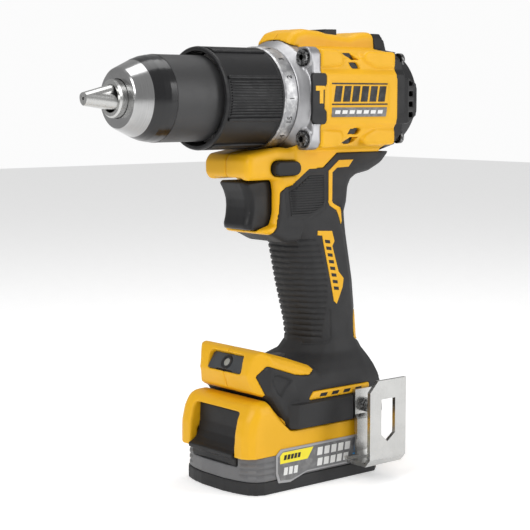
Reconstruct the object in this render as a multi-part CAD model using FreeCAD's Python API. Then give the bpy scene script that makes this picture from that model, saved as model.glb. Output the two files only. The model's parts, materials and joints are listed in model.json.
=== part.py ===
import FreeCAD, Part
import math
import os

from FreeCAD import Vector

# Compact cordless hammer drill, in millimetres.
# +Z is up, the chuck points to -X, the left side (belt hook side) is -Y.
# The origin is the centre of the battery's foot face.

# ---------------------------------------------------------------- driving sizes
SPINDLE_HEIGHT = 194.0        # spindle axis above the battery's foot
HOUSING_FRONT = -2.0          # front edge of the plastic housing
HOUSING_REAR = 50.0           # rear edge of the plastic housing
HOUSING_HALF_WIDTH = 31.4     # across the side label pads
HOUSING_TOP = 228.4           # top of the speed slider hump
BARREL_RADIUS = 27.6          # round part of the motor housing
SHELL_WALL = 2.4              # moulded wall of the housing
RUNNING_CLEARANCE = 0.3       # between parts that turn or slide freely
FIT_CLEARANCE = 0.05          # radial, shafts and pins in their bores
SEAT_CLEARANCE = 0.1          # a fixed insert in its seat

CHUCK_RADIUS = 20.8
CHUCK_NOSE_RADIUS = 14.5
CHUCK_NOSE_FRONT = -102.4
CHUCK_BAND_FRONT = -93.8
CHUCK_REAR = -54.0
JAW_TIP = -121.0
JAW_TIP_RADIUS = 2.9
JAW_RADIUS = 3.9
JAW_ANGLE = 14.0              # degrees, jaw axis to spindle axis
JAW_REAR = -82.0
JAW_GRIP_RADIUS = 0.75        # half of the smallest shank held
JAW_COUNT = 3
CHUCK_NOSE_RING_RADIUS = 9.0
CHUCK_NOSE_RING_FRONT = -106.3
SLEEVE_INNER = 18.9
NUT_FRONT = -90.0
NUT_REAR = -83.5
NUT_OUTER = 16.4

COLLAR_RADIUS = 25.4
COLLAR_FRONT = -57.0
COLLAR_REAR = -21.3
COLLAR_WALL = 2.6
COLLAR_RIBS = 20
TORQUE_RING_RADIUS = 25.8
TORQUE_RING_REAR = -13.2

NOSE_TUBE_RADIUS = 14.0       # gear case nose inside the collar
NOSE_TUBE_FRONT = -50.0
BEARING_OUTER = 12.0
BEARING_INNER = 6.0
BEARING_WIDTH = 6.0
GEAR_CASE_RADIUS = 22.0
GEAR_CASE_BORE = 19.2
GEAR_CASE_FRONT = -25.6
GEAR_CASE_REAR = 10.0
FLANGE_RADIUS = 29.0
FLANGE_FRONT = -8.0
LUG_OFFSET_Y = 24.5
LUG_OFFSET_Z = 20.0
LUG_RADIUS = 5.4

GEAR_MODULE = 0.8
SUN_TEETH = 15
PLANET_TEETH = 12
RING_TEETH = SUN_TEETH + 2 * PLANET_TEETH
PLANET_COUNT = 3
PIN_RADIUS = 1.5
RING_GEAR_OUTER = 19.0
CARRIER_RADIUS = 14.4
STAGE_3_FRONT = -19.2
STAGE_3_REAR = -10.8
STAGE_2_FRONT = -7.4
STAGE_2_REAR = -1.4
STAGE_1_FRONT = 4.0
STAGE_1_REAR = 9.6

STATOR_FRONT = 21.0
STATOR_REAR = 43.0
STATOR_RADIUS = 22.0
ROTOR_RADIUS = 12.0
MOTOR_SHAFT_RADIUS = 2.5
FAN_FRONT = 46.0
FAN_REAR = 51.0
FAN_RADIUS = 20.0
CAP_REAR = 72.0

GRIP_SKIN = 1.8
FOOT_HALF_WIDTH = 29.0

BATTERY_LENGTH = 91.5
BATTERY_WIDTH = 58.0
BATTERY_CASE_TOP = 29.6
BATTERY_RAIL_TOP = 41.0
BATTERY_FRONT = -47.5
BATTERY_BASE_TOP = 6.4
BATTERY_BAND_TOP = 18.6
LATCH_HALF_WIDTH = 17.4
TERMINAL_PLACES = (-10.5, -3.5, 3.5, 10.5)

TRIGGER_HALF_WIDTH = 10.6
HOOK_THICKNESS = 2.0
HOOK_SCREW_X = 28.6
HOOK_SCREW_Z = 37.0
HOOK_SCREW_RADIUS = 2.0
GUARD_HALF_WIDTH = 16.4
LAMP_HALF_WIDTH = 19.4        # flat front of the lamp block
LAMP_TILT = 32.0              # degrees, lamp face to the vertical

ALONG_X = Vector(1, 0, 0)
ALONG_Y = Vector(0, 1, 0)
ALONG_Z = Vector(0, 0, 1)
SPINDLE = Vector(0, 0, SPINDLE_HEIGHT)
BIG = 200.0

PARTS = {}


# ---------------------------------------------------------------- shape helpers
def block(low, high):
    """A box between two corners."""
    size = [high[i] - low[i] for i in range(3)]
    return Part.makeBox(size[0], size[1], size[2], Vector(*low))


def drum(radius, x0, x1, y=0.0, z=SPINDLE_HEIGHT):
    """A round bar along X."""
    return Part.makeCylinder(radius, x1 - x0, Vector(x0, y, z), ALONG_X)


def bar_y(radius, y0, y1, x, z):
    """A round bar along Y."""
    return Part.makeCylinder(radius, y1 - y0, Vector(x, y0, z), ALONG_Y)


def tube(outer, inner, x0, x1):
    """A round tube along the spindle axis."""
    return drum(outer, x0, x1).cut(drum(inner, x0 - 1, x1 + 1))


def turned(profile):
    """A closed profile of (x, radius) points turned about the spindle axis."""
    points = [Vector(x, 0, SPINDLE_HEIGHT + r) for x, r in profile]
    face = Part.Face(Part.makePolygon(points + points[:1]))
    return face.revolve(SPINDLE, ALONG_X, 360)


def plate(points, axis, low, high):
    """A flat outline extruded along one axis; points are the other two coordinates."""
    place = {
        "x": lambda a, b: Vector(low, a, b),
        "y": lambda a, b: Vector(a, low, b),
        "z": lambda a, b: Vector(a, b, low),
    }[axis]
    run = {"x": ALONG_X, "y": ALONG_Y, "z": ALONG_Z}[axis] * (high - low)
    corners = [place(a, b) for a, b in points]
    return Part.Face(Part.makePolygon(corners + corners[:1])).extrude(run)


def rounded_plate(points, axis, low, high, radius):
    """A flat outline with its corners rounded, extruded along one axis."""
    solid = plate(points, axis, low, high)
    number = "xyz".index(axis)
    edges = []
    for edge in solid.Edges:
        a, b = (v.Point for v in edge.Vertexes)
        if abs(abs(a[number] - b[number]) - (high - low)) < 1e-6:
            edges.append(edge)
    return solid.makeFillet(radius, edges)


CROWN_STEPS = ((0.0, 1.0), (0.35, 0.35), (1.0, 0.0))


def flat_face(corners):
    """A flat face through its corners."""
    return Part.Face(Part.makePolygon(corners + corners[:1]))


def faceted(rings):
    """A closed solid of flat faces between rings with equal numbers of corners."""
    faces = [flat_face(rings[0]), flat_face(rings[-1])]
    count = len(rings[0])
    for lower, upper in zip(rings, rings[1:]):
        for k in range(count):
            a = lower[k]
            b = lower[(k + 1) % count]
            c = upper[(k + 1) % count]
            d = upper[k]
            if abs((b - a).cross(c - a).dot(d - a)) < 1e-7:
                faces.append(flat_face([a, b, c, d]))
            else:
                faces.append(flat_face([a, b, c]))
                faces.append(flat_face([a, c, d]))
    shell = Part.makeCompound(faces)
    shell.sewShape()
    solid = Part.Solid(shell.Shells[0])
    if solid.Volume < 0:
        solid.reverse()
    return solid


def crowned_plate(outline, half_width, crown):
    """A plate across Y whose outline draws in towards both faces, as a rounded edge does."""
    rings = []
    for sign in (-1, 1):
        steps = CROWN_STEPS if sign < 0 else CROWN_STEPS[::-1]
        for drop, draw in steps:
            y = sign * (half_width - drop * crown)
            rings.append([Vector(x, y, z) for x, z in outline(draw * crown)])
    return faceted(rings)


def fuse(shapes):
    """One shape from several."""
    return shapes[0].multiFuse(shapes[1:]) if len(shapes) > 1 else shapes[0]


def cut(shape, tools):
    """A shape less several others."""
    return shape.cut(tools)


def around(shape, count, start=0.0):
    """Copies of a shape, evenly spaced about the spindle axis."""
    copies = []
    for k in range(count):
        item = shape.copy()
        item.rotate(SPINDLE, ALONG_X, start + 360.0 * k / count)
        copies.append(item)
    return copies


def mirrored(shape):
    """The same shape on the drill's other side."""
    return shape.mirror(Vector(0, 0, 0), ALONG_Y)


def left_half(shape):
    """The part of a shape on the -Y side."""
    return shape.common(block((-BIG, -BIG, -BIG), (BIG, 0, 2 * BIG)))


def oval(x, z, half_x, half_y, power, steps=20):
    """Corners of an outline at height z, between an ellipse and a rectangle."""
    points = []
    for k in range(steps):
        angle = 2 * math.pi * k / steps
        c = math.cos(angle)
        s = math.sin(angle)
        radius = (abs(c / half_x) ** power + abs(s / half_y) ** power) ** (-1 / power)
        points.append(Vector(x + radius * c, radius * s, z))
    return points


def keep(name, shape):
    """Store a finished piece and check that it is a closed valid solid."""
    shape = shape.removeSplitter()
    solids = shape.Solids
    if not solids:
        raise ValueError(name + " has no solid")
    if len(solids) == 1:
        shape = solids[0]
    else:
        shape = Part.makeCompound(solids)
    if not shape.isValid():
        print("not valid:", name)
    PARTS[name] = shape
    return shape


# ---------------------------------------------------------------- gear teeth
TOOTH_BACKLASH = 0.16
ADDENDUM = 0.62
DEDENDUM = 0.95
PRESSURE_SLOPE = math.tan(math.radians(20))


def pitch_radius(teeth):
    return GEAR_MODULE * teeth / 2


PIN_CIRCLE = pitch_radius(SUN_TEETH) + pitch_radius(PLANET_TEETH)


def tooth_outline(teeth, internal, phase):
    """Points of a spur gear's outline about the origin; phase is one tooth's centre angle."""
    pitch = pitch_radius(teeth)
    out = -1 if internal else 1
    tip = pitch + out * ADDENDUM
    root = pitch - out * DEDENDUM
    half = (math.pi * GEAR_MODULE / 2 - TOOTH_BACKLASH) / 2
    half_tip = (half - ADDENDUM * PRESSURE_SLOPE) / tip
    half_root = (half + DEDENDUM * PRESSURE_SLOPE) / root
    points = []
    for k in range(teeth):
        middle = phase + 2 * math.pi * k / teeth
        for radius, angle in (
            (root, middle - half_root),
            (tip, middle - half_tip),
            (tip, middle + half_tip),
            (root, middle + half_root),
        ):
            points.append((radius * math.cos(angle), radius * math.sin(angle)))
    return points


def toothed_bar(teeth, x0, x1, y=0.0, z=SPINDLE_HEIGHT, internal=False, phase=0.0):
    """A spur-toothed bar along X."""
    outline = tooth_outline(teeth, internal, phase)
    points = [(y - a, z + b) for a, b in outline]
    return plate(points, "x", x0, x1)


def planet_place(k):
    """Direction angle, y and z of planet k; the first stands straight above the spindle."""
    angle = math.pi / 2 + 2 * math.pi * k / PLANET_COUNT
    return angle, -PIN_CIRCLE * math.cos(angle), SPINDLE_HEIGHT + PIN_CIRCLE * math.sin(angle)


def planet(stage, k, x0, x1):
    """One planet wheel; a gap between its teeth faces the sun and the ring."""
    angle, y, z = planet_place(k)
    wheel = toothed_bar(PLANET_TEETH, x0, x1, y, z, phase=angle + math.pi / PLANET_TEETH)
    bore = drum(PIN_RADIUS + FIT_CLEARANCE, x0 - 1, x1 + 1, y, z)
    keep("planet_%d_%d" % (stage, k + 1), wheel.cut(bore))


def sun_bar(x0, x1):
    """The sun wheel of one stage."""
    return toothed_bar(SUN_TEETH, x0, x1, phase=math.pi / 2)


def ring_gear(x0, x1):
    """A toothed ring seated in the gear case."""
    teeth = toothed_bar(RING_TEETH, x0 - 1, x1 + 1, internal=True, phase=math.pi / 2)
    return drum(RING_GEAR_OUTER, x0, x1).cut(teeth)


def carrier_pins(x0, x1):
    """The pins that the planets of one carrier turn on."""
    pins = []
    for k in range(PLANET_COUNT):
        _, y, z = planet_place(k)
        pins.append(drum(PIN_RADIUS, x0, x1, y, z))
    return pins


# ---------------------------------------------------------------- chuck
JAW_SLOPE = math.tan(math.radians(JAW_ANGLE))


def jaw_outer(x):
    """Radius of the outermost line of a jaw at x."""
    return JAW_TIP_RADIUS + JAW_SLOPE * (x - JAW_TIP)


def slanted_bar(radius, x0, x1):
    """A round bar along the slanted path of the jaw that stands above the spindle."""
    axis_drop = JAW_RADIUS / math.cos(math.radians(JAW_ANGLE))
    start = Vector(x0, 0, SPINDLE_HEIGHT + jaw_outer(x0) - axis_drop)
    length = (x1 - x0) / math.cos(math.radians(JAW_ANGLE))
    return Part.makeCylinder(radius, length, start, Vector(1, 0, JAW_SLOPE))


def make_jaws():
    bar = slanted_bar(JAW_RADIUS, JAW_TIP - 20, JAW_REAR + 5)
    bar = bar.common(block((JAW_TIP, -BIG, 0), (JAW_REAR, BIG, BIG + BIG)))
    grip = block((JAW_TIP - 1, -BIG, -BIG), (JAW_REAR + 1, BIG, SPINDLE_HEIGHT))
    wedge = plate(
        [(0, SPINDLE_HEIGHT + 0.06), (-30, SPINDLE_HEIGHT + 0.06 + 30 / math.sqrt(3)),
         (-30, SPINDLE_HEIGHT + 60), (30, SPINDLE_HEIGHT + 60),
         (30, SPINDLE_HEIGHT + 0.06 + 30 / math.sqrt(3))],
        "x", JAW_TIP - 1, JAW_REAR + 1)
    jaw = bar.cut(grip).common(wedge)
    jaw = jaw.cut(drum(JAW_GRIP_RADIUS, JAW_TIP - 1, JAW_REAR + 1))
    for k, item in enumerate(around(jaw, JAW_COUNT)):
        keep("jaw_%d" % (k + 1), item)


def make_chuck_body():
    front = CHUCK_NOSE_RING_FRONT
    ring = CHUCK_NOSE_RING_RADIUS
    floor = jaw_outer(NUT_FRONT) - 0.4
    profile = [
        (front, 0), (front, ring - 0.8), (front + 0.8, ring), (CHUCK_NOSE_FRONT + 2, ring),
        (CHUCK_NOSE_FRONT + 3, 12.2), (NUT_FRONT - 0.2, 13.4), (NUT_FRONT - 0.2, floor),
        (NUT_REAR + 0.2, floor), (NUT_REAR + 0.2, 16.2), (-74.0, 17.6),
        (-72.0, SLEEVE_INNER - SEAT_CLEARANCE), (CHUCK_REAR + 1, SLEEVE_INNER - SEAT_CLEARANCE),
        (CHUCK_REAR, 17.4), (CHUCK_REAR, 0),
    ]
    body = turned(profile)
    bores = around(slanted_bar(JAW_RADIUS + FIT_CLEARANCE, JAW_TIP - 10, -57.0), JAW_COUNT)
    shank = drum(6.6, JAW_TIP, -72.5)
    screw_hole = drum(3.2, -80, -60)
    thread = drum(SPINDLE_NOSE_RADIUS + FIT_CLEARANCE, -68.0, CHUCK_REAR + 1)
    keep("chuck_body", cut(body, bores + [shank, screw_hole, thread]))


SPINDLE_NOSE_RADIUS = 6.35


def make_chuck_sleeve():
    front = CHUCK_BAND_FRONT
    lip = CHUCK_NOSE_RING_RADIUS + RUNNING_CLEARANCE
    profile = [
        (CHUCK_NOSE_FRONT, lip), (CHUCK_NOSE_FRONT, CHUCK_NOSE_RADIUS - 0.6),
        (CHUCK_NOSE_FRONT + 0.6, CHUCK_NOSE_RADIUS), (front, 18.0), (front + 2, 18.9),
        (front + 5, 19.9), (front + 8, 20.45), (front + 11.5, CHUCK_RADIUS),
        (CHUCK_REAR - 1.0, CHUCK_RADIUS), (CHUCK_REAR, CHUCK_RADIUS - 0.8),
        (CHUCK_REAR, SLEEVE_INNER), (NUT_REAR, SLEEVE_INNER), (NUT_REAR, NUT_OUTER),
        (front + 1, NUT_OUTER), (front, 15.6), (CHUCK_NOSE_FRONT + 2.2, 13.0),
        (CHUCK_NOSE_FRONT + 1.6, lip),
    ]
    keep("chuck_sleeve", turned(profile))
    nut = [
        (NUT_FRONT, jaw_outer(NUT_FRONT) + 0.15), (NUT_FRONT, NUT_OUTER), (NUT_REAR, NUT_OUTER),
        (NUT_REAR, jaw_outer(NUT_REAR) + 0.15),
    ]
    keep("chuck_nut", turned(nut))


def make_chuck_screw():
    shank = drum(3.0, -72.5, -58.0)
    head = drum(4.6, -75.5, -72.5)
    socket = plate([(2.2 * math.cos(a), SPINDLE_HEIGHT + 2.2 * math.sin(a))
                    for a in [math.pi * k / 3 for k in range(6)]], "x", -76.5, -73.5)
    keep("chuck_screw", head.fuse(shank).cut(socket))


# ---------------------------------------------------------------- spindle and hammer action
def ratchet_teeth(x0, x1, inner, outer, shift):
    """Face teeth of the hammer ratchets, as a ring of wedges."""
    teeth = []
    count = 12
    for k in range(count):
        a0 = 2 * math.pi * (k + shift) / count
        a1 = a0 + math.pi / count
        corners = [(inner, a0), (outer, a0), (outer, a1), (inner, a1)]
        points = [(r * math.cos(a), SPINDLE_HEIGHT + r * math.sin(a)) for r, a in corners]
        teeth.append(plate(points, "x", x0, x1))
    return teeth


def make_spindle():
    carrier_front = STAGE_3_FRONT - 4.4
    profile = [
        (-68.0, 0), (-68.0, SPINDLE_NOSE_RADIUS - 0.6), (-67.4, SPINDLE_NOSE_RADIUS),
        (CHUCK_REAR + 0.6, SPINDLE_NOSE_RADIUS), (CHUCK_REAR + 0.6, 7.4), (-51.0, 7.4),
        (-51.0, BEARING_INNER), (-34.6, BEARING_INNER), (-34.6, 7.6), (-31.2, 7.6),
        (-31.2, BEARING_INNER), (carrier_front, BEARING_INNER),
        (carrier_front, CARRIER_RADIUS), (STAGE_3_FRONT - 0.4, CARRIER_RADIUS),
        (STAGE_3_FRONT - 0.4, 0),
    ]
    spindle = turned(profile)
    tapped = drum(3.0, -70, -56.0)
    keep("spindle", fuse([spindle.cut(tapped)] + carrier_pins(STAGE_3_FRONT - 0.5, STAGE_3_REAR)))
    ratchet = tube(11.0, 7.6, -34.6, -32.4)
    keep("ratchet_turning", fuse([ratchet] + ratchet_teeth(-35.6, -34.5, 8.2, 10.8, 0.0)))
    fixed = tube(BEARING_OUTER, 8.2, -39.2, -37.2)
    keep("ratchet_fixed", fuse([fixed] + ratchet_teeth(-37.3, -36.2, 8.4, 10.8, 0.5)))


def bearing(x0, x1, outer, inner, balls):
    """A ball bearing: two races and its balls."""
    middle = (x0 + x1) / 2
    race = (outer - inner) * 0.3
    ball = (outer - inner) * 0.24
    groove = Part.makeTorus((outer + inner) / 2, ball + 0.05, SPINDLE + Vector(middle, 0, 0), ALONG_X)
    inner_race = tube(inner + race, inner, x0, x1).cut(groove)
    outer_race = tube(outer, outer - race, x0, x1).cut(groove)
    one = Part.makeSphere(ball, Vector(middle, 0, SPINDLE_HEIGHT + (outer + inner) / 2))
    return [inner_race, outer_race] + around(one, balls)


def make_bearings():
    spindle_bore = BEARING_INNER + FIT_CLEARANCE
    shaft_bore = MOTOR_SHAFT_RADIUS + FIT_CLEARANCE
    races = bearing(NOSE_TUBE_FRONT + 1, NOSE_TUBE_FRONT + 1 + BEARING_WIDTH, BEARING_OUTER, spindle_bore, 12)
    races += bearing(-31.0, -26.0, BEARING_OUTER, spindle_bore, 12)
    races += bearing(GEAR_CASE_REAR + 1.4, GEAR_CASE_REAR + 6.4, 8.0, shaft_bore, 8)
    races += bearing(61.4, 65.6, 8.0, shaft_bore, 8)
    keep("ball_bearings", Part.makeCompound(races))


# ---------------------------------------------------------------- gearbox
def make_gears():
    for k in range(PLANET_COUNT):
        planet(3, k, STAGE_3_FRONT + 0.2, STAGE_3_REAR - 0.2)
        planet(2, k, STAGE_2_FRONT + 0.2, STAGE_2_REAR + 0.4)
        planet(1, k, STAGE_1_FRONT - 0.2, STAGE_1_REAR - 0.2)
    middle = ring_gear(STAGE_2_FRONT, STAGE_2_REAR)
    groove = tube(RING_GEAR_OUTER + 1, RING_GEAR_OUTER - 0.9, -5.4, -3.4)
    keep("ring_gear_shift", middle.cut(groove))
    fixed = [ring_gear(STAGE_3_FRONT, STAGE_3_REAR), ring_gear(STAGE_1_FRONT, STAGE_1_REAR)]
    keep("ring_gears_fixed", Part.makeCompound(fixed))
    second = fuse([drum(CARRIER_RADIUS, STAGE_3_REAR + 0.3, STAGE_2_FRONT - 0.2),
                   sun_bar(STAGE_3_FRONT + 0.2, STAGE_3_REAR + 0.4)]
                  + carrier_pins(STAGE_2_FRONT - 0.3, STAGE_2_REAR + 0.6))
    keep("carrier_2", second)
    first = fuse([drum(CARRIER_RADIUS, STAGE_2_REAR + 1.0, STAGE_1_FRONT - 0.4),
                  sun_bar(STAGE_2_FRONT + 0.2, STAGE_2_REAR + 1.1)]
                 + carrier_pins(STAGE_1_FRONT - 0.5, STAGE_1_REAR))
    keep("carrier_1", first)


def make_gear_case():
    """Cast front case: bearing nose, gear chamber, flared flange with four screw lugs."""
    nose = drum(NOSE_TUBE_RADIUS, NOSE_TUBE_FRONT, GEAR_CASE_FRONT)
    barrel = drum(GEAR_CASE_RADIUS, GEAR_CASE_FRONT, GEAR_CASE_REAR)
    flare = turned([
        (TORQUE_RING_REAR + 0.3, 0), (TORQUE_RING_REAR + 0.3, 25.7), (-12.0, 26.2),
        (-10.4, 27.4), (FLANGE_FRONT, FLANGE_RADIUS), (HOUSING_FRONT, FLANGE_RADIUS),
        (HOUSING_FRONT, 0),
    ])
    lugs = []
    for sy in (-1, 1):
        for sz in (-1, 1):
            y = sy * LUG_OFFSET_Y
            z = SPINDLE_HEIGHT + sz * LUG_OFFSET_Z
            lugs.append(drum(LUG_RADIUS, -8.6, HOUSING_FRONT, y, z))
            lugs.append(plate([(y - sy * 9, z - sz * 5), (y - sy * 5, z + sz * LUG_RADIUS),
                               (y, z + sz * LUG_RADIUS), (y + sy * LUG_RADIUS, z),
                               (y + sy * LUG_RADIUS, z - sz * 7), (y - sy * 6, z - sz * 10)],
                              "x", -7.6, HOUSING_FRONT))
    pads = []
    for sy in (-1, 1):
        low = min(sy * 20, sy * 30.0)
        pads.append(block((-7.2, low, SPINDLE_HEIGHT - 13), (HOUSING_FRONT, low + 10, SPINDLE_HEIGHT + 13)))
    solid = fuse([nose, barrel, flare] + lugs + pads)
    chamber = drum(GEAR_CASE_BORE, STAGE_3_FRONT - 5.4, GEAR_CASE_REAR + 1)
    through = drum(8.0 + 1.0, NOSE_TUBE_FRONT - 1, GEAR_CASE_FRONT + 2)
    seats = drum(BEARING_OUTER, NOSE_TUBE_FRONT - 1, -37.2 + 0.2)
    rear_seat = drum(BEARING_OUTER, -36.0, -26.0)
    shelf = drum(11.6, -38, -35)
    slot = block((-8.0, -2.2, SPINDLE_HEIGHT + 15), (8.0, 2.2, SPINDLE_HEIGHT + 30))
    holes = []
    for sy in (-1, 1):
        for sz in (-1, 1):
            y = sy * LUG_OFFSET_Y
            z = SPINDLE_HEIGHT + sz * LUG_OFFSET_Z
            holes.append(drum(2.1, -12, 4, y, z))
            holes.append(drum(3.9, -12, -6.4, y, z))
    flats = [block((NOSE_TUBE_FRONT + 1, sy * 12.9 if sy > 0 else -20, SPINDLE_HEIGHT - 20),
                   (GEAR_CASE_FRONT - 3, 20 if sy > 0 else -12.9, SPINDLE_HEIGHT + 20))
             for sy in (-1, 1)]
    flats = [item.common(tube(20, 12.6, NOSE_TUBE_FRONT, GEAR_CASE_FRONT)) for item in flats]
    keep("gear_case", cut(solid, [chamber, through, seats, rear_seat, shelf, slot] + holes + flats))
    screws = []
    for sy in (-1, 1):
        for sz in (-1, 1):
            y = sy * LUG_OFFSET_Y
            z = SPINDLE_HEIGHT + sz * LUG_OFFSET_Z
            head = drum(3.7, -10.4, -6.4, y, z)
            shank = drum(2.0, -6.4, 12.0, y, z)
            star = plate([(y + (1.9 if n % 2 == 0 else 1.3) * math.cos(math.pi * n / 6),
                           z + (1.9 if n % 2 == 0 else 1.3) * math.sin(math.pi * n / 6))
                          for n in range(12)], "x", -10.5, -8.2)
            screws.append(head.fuse(shank).cut(star))
    keep("gear_case_screws", Part.makeCompound(screws))


def make_motor_plate():
    """Rear cover of the gear case, which carries the motor's front bearing."""
    disc = drum(GEAR_CASE_RADIUS, GEAR_CASE_REAR, GEAR_CASE_REAR + 3.0)
    hub = drum(11.0, GEAR_CASE_REAR + 2, GEAR_CASE_REAR + 7.0)
    seat = drum(8.0, GEAR_CASE_REAR + 1.4, GEAR_CASE_REAR + 8)
    hole = drum(7.2, GEAR_CASE_REAR - 1, GEAR_CASE_REAR + 4)
    keep("motor_plate", fuse([disc, hub]).cut([seat, hole]))


# ---------------------------------------------------------------- clutch
def make_clutch():
    ring_inner = COLLAR_RADIUS - COLLAR_WALL
    body = turned([
        (COLLAR_FRONT, 22.6), (COLLAR_FRONT + 0.4, 23.6), (COLLAR_FRONT + 1.8, 25.0),
        (COLLAR_FRONT + 4, COLLAR_RADIUS), (COLLAR_REAR - 0.4, COLLAR_RADIUS), (COLLAR_REAR, 25.0),
        (COLLAR_REAR, ring_inner), (COLLAR_FRONT + 7, ring_inner),
        (COLLAR_FRONT + 7, NOSE_TUBE_RADIUS + RUNNING_CLEARANCE),
        (COLLAR_FRONT + 4.6, NOSE_TUBE_RADIUS + RUNNING_CLEARANCE), (COLLAR_FRONT + 4.6, 21.6),
    ])
    grooves = []
    groove = block((COLLAR_FRONT + 7, -0.7, SPINDLE_HEIGHT + COLLAR_RADIUS - 0.5),
                   (COLLAR_REAR - 3, 0.7, SPINDLE_HEIGHT + COLLAR_RADIUS + 1))
    for offset in (-7, -4.2, -1.4, 1.4, 4.2, 7):
        item = groove.copy()
        item.rotate(SPINDLE, ALONG_X, offset * 360 / 160)
        grooves += around(item, COLLAR_RIBS // 4, 12.0)
    keep("torque_collar", body.cut(grooves))
    ring = turned([
        (COLLAR_REAR, ring_inner), (COLLAR_REAR, 25.2), (COLLAR_REAR + 0.8, TORQUE_RING_RADIUS),
        (TORQUE_RING_REAR - 0.4, TORQUE_RING_RADIUS), (TORQUE_RING_REAR, 25.3),
        (TORQUE_RING_REAR, GEAR_CASE_RADIUS + RUNNING_CLEARANCE),
        (-17.5, GEAR_CASE_RADIUS + RUNNING_CLEARANCE), (-17.5, ring_inner),
    ])
    keep("torque_ring", ring)
    nut = tube(ring_inner - RUNNING_CLEARANCE, NOSE_TUBE_RADIUS + 0.15, -46.0, -42.0)
    keys = [block((-46, sy * 13.05 if sy > 0 else -15, SPINDLE_HEIGHT - 2.5),
                  (-42, 15 if sy > 0 else -13.05, SPINDLE_HEIGHT + 2.5)) for sy in (-1, 1)]
    keep("clutch_nut", fuse([nut] + keys))
    turns = 4.0
    length = 42.0 + GEAR_CASE_FRONT - 2.4
    helix = Part.makeHelix(length / turns, length, 17.2)
    helix.rotate(Vector(0, 0, 0), ALONG_Y, 90)
    helix.translate(Vector(-42.0 + 1.2, 0, SPINDLE_HEIGHT))
    start = helix.Edges[0].valueAt(helix.Edges[0].FirstParameter)
    section = Part.Wire([Part.makeCircle(1.1, start, helix.Edges[0].tangentAt(helix.Edges[0].FirstParameter))])
    spring = Part.Wire(helix.Edges).makePipeShell([section], True, True)
    keep("clutch_spring", spring)


# ---------------------------------------------------------------- motor
def make_motor():
    shaft = turned([
        (STAGE_1_FRONT - 0.2, 0), (STAGE_1_FRONT - 0.2, MOTOR_SHAFT_RADIUS),
        (STATOR_FRONT - 4, MOTOR_SHAFT_RADIUS), (STATOR_FRONT - 4, 4.0), (61.0, 4.0),
        (61.0, MOTOR_SHAFT_RADIUS), (66.0, MOTOR_SHAFT_RADIUS), (66.0, 0),
    ])
    pinion = sun_bar(STAGE_1_FRONT - 0.1, STAGE_1_REAR + 0.6)
    keep("rotor_shaft", shaft.fuse(pinion))
    core = tube(ROTOR_RADIUS - 1.6, 4.0, STATOR_FRONT, STATOR_REAR)
    magnet = tube(ROTOR_RADIUS, ROTOR_RADIUS - 1.6, STATOR_FRONT + 1, STATOR_REAR - 1)
    gap = block((STATOR_FRONT, -0.4, SPINDLE_HEIGHT), (STATOR_REAR, 0.4, SPINDLE_HEIGHT + ROTOR_RADIUS + 1))
    magnets = magnet.cut(around(gap, 4, 45.0))
    keep("rotor", Part.makeCompound([core] + magnets.Solids))
    yoke = tube(STATOR_RADIUS, STATOR_RADIUS - 3, STATOR_FRONT, STATOR_REAR)
    arm = block((STATOR_FRONT, -2.2, SPINDLE_HEIGHT + ROTOR_RADIUS + 0.6),
                (STATOR_REAR, 2.2, SPINDLE_HEIGHT + STATOR_RADIUS - 1))
    shoe = block((STATOR_FRONT, -5.0, SPINDLE_HEIGHT + ROTOR_RADIUS + 0.8),
                 (STATOR_REAR, 5.0, SPINDLE_HEIGHT + ROTOR_RADIUS + 2.2))
    stator = fuse([yoke] + around(arm, 6) + around(shoe, 6))
    board = tube(21.5, 6.5, STATOR_FRONT - 3.9, STATOR_FRONT - 2.7)
    coil = block((STATOR_FRONT - 2.5, -4.4, SPINDLE_HEIGHT + ROTOR_RADIUS + 2.5),
                 (STATOR_REAR + 2.0, 4.4, SPINDLE_HEIGHT + STATOR_RADIUS - 3.4))
    coil = coil.cut(block((STATOR_FRONT - 0.2, -2.3, SPINDLE_HEIGHT), (STATOR_REAR + 0.2, 2.3, SPINDLE_HEIGHT + 30)))
    keep("stator", Part.makeCompound([stator, board] + around(coil, 6)))
    hub = tube(6.0, 4.0, FAN_FRONT, FAN_REAR)
    disc = tube(FAN_RADIUS, 5.5, FAN_REAR - 1.2, FAN_REAR)
    blade = block((FAN_FRONT + 0.6, -0.6, SPINDLE_HEIGHT + 5.5), (FAN_REAR - 1.0, 0.6, SPINDLE_HEIGHT + FAN_RADIUS - 0.5))
    keep("cooling_fan", fuse([hub, disc] + around(blade, 9)))


# ---------------------------------------------------------------- outer form of the housing
# Handle and foot flare stations: height, centre x, half depth, half width, squareness.
HANDLE_STATIONS = (
    (152.0, 9.8, 27.2, 17.4, 3.2),
    (136.0, 8.8, 25.8, 17.2, 3.1),
    (122.0, 15.6, 20.8, 17.0, 2.6),
    (100.0, 20.2, 20.4, 17.4, 2.5),
    (78.0, 24.4, 18.6, 17.0, 2.5),
    (69.0, 25.4, 18.4, 17.0, 2.5),
    (63.6, 24.6, 21.8, 18.8, 2.6),
    (59.6, 20.6, 28.6, 22.6, 2.8),
    (55.0, 16.4, 35.2, 26.2, 3.1),
    (50.0, 13.6, 39.4, 28.2, 3.6),
    (44.0, 12.0, 41.2, 28.9, 4.2),
    (30.4, 11.4, 41.8, FOOT_HALF_WIDTH, 4.8),
)


def handle_form(inset):
    """The handle and its flared foot as one closed form, drawn in by an inset."""
    return faceted([oval(x, z, half_x - inset, half_y - inset, power)
                    for z, x, half_x, half_y, power in HANDLE_STATIONS])


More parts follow.
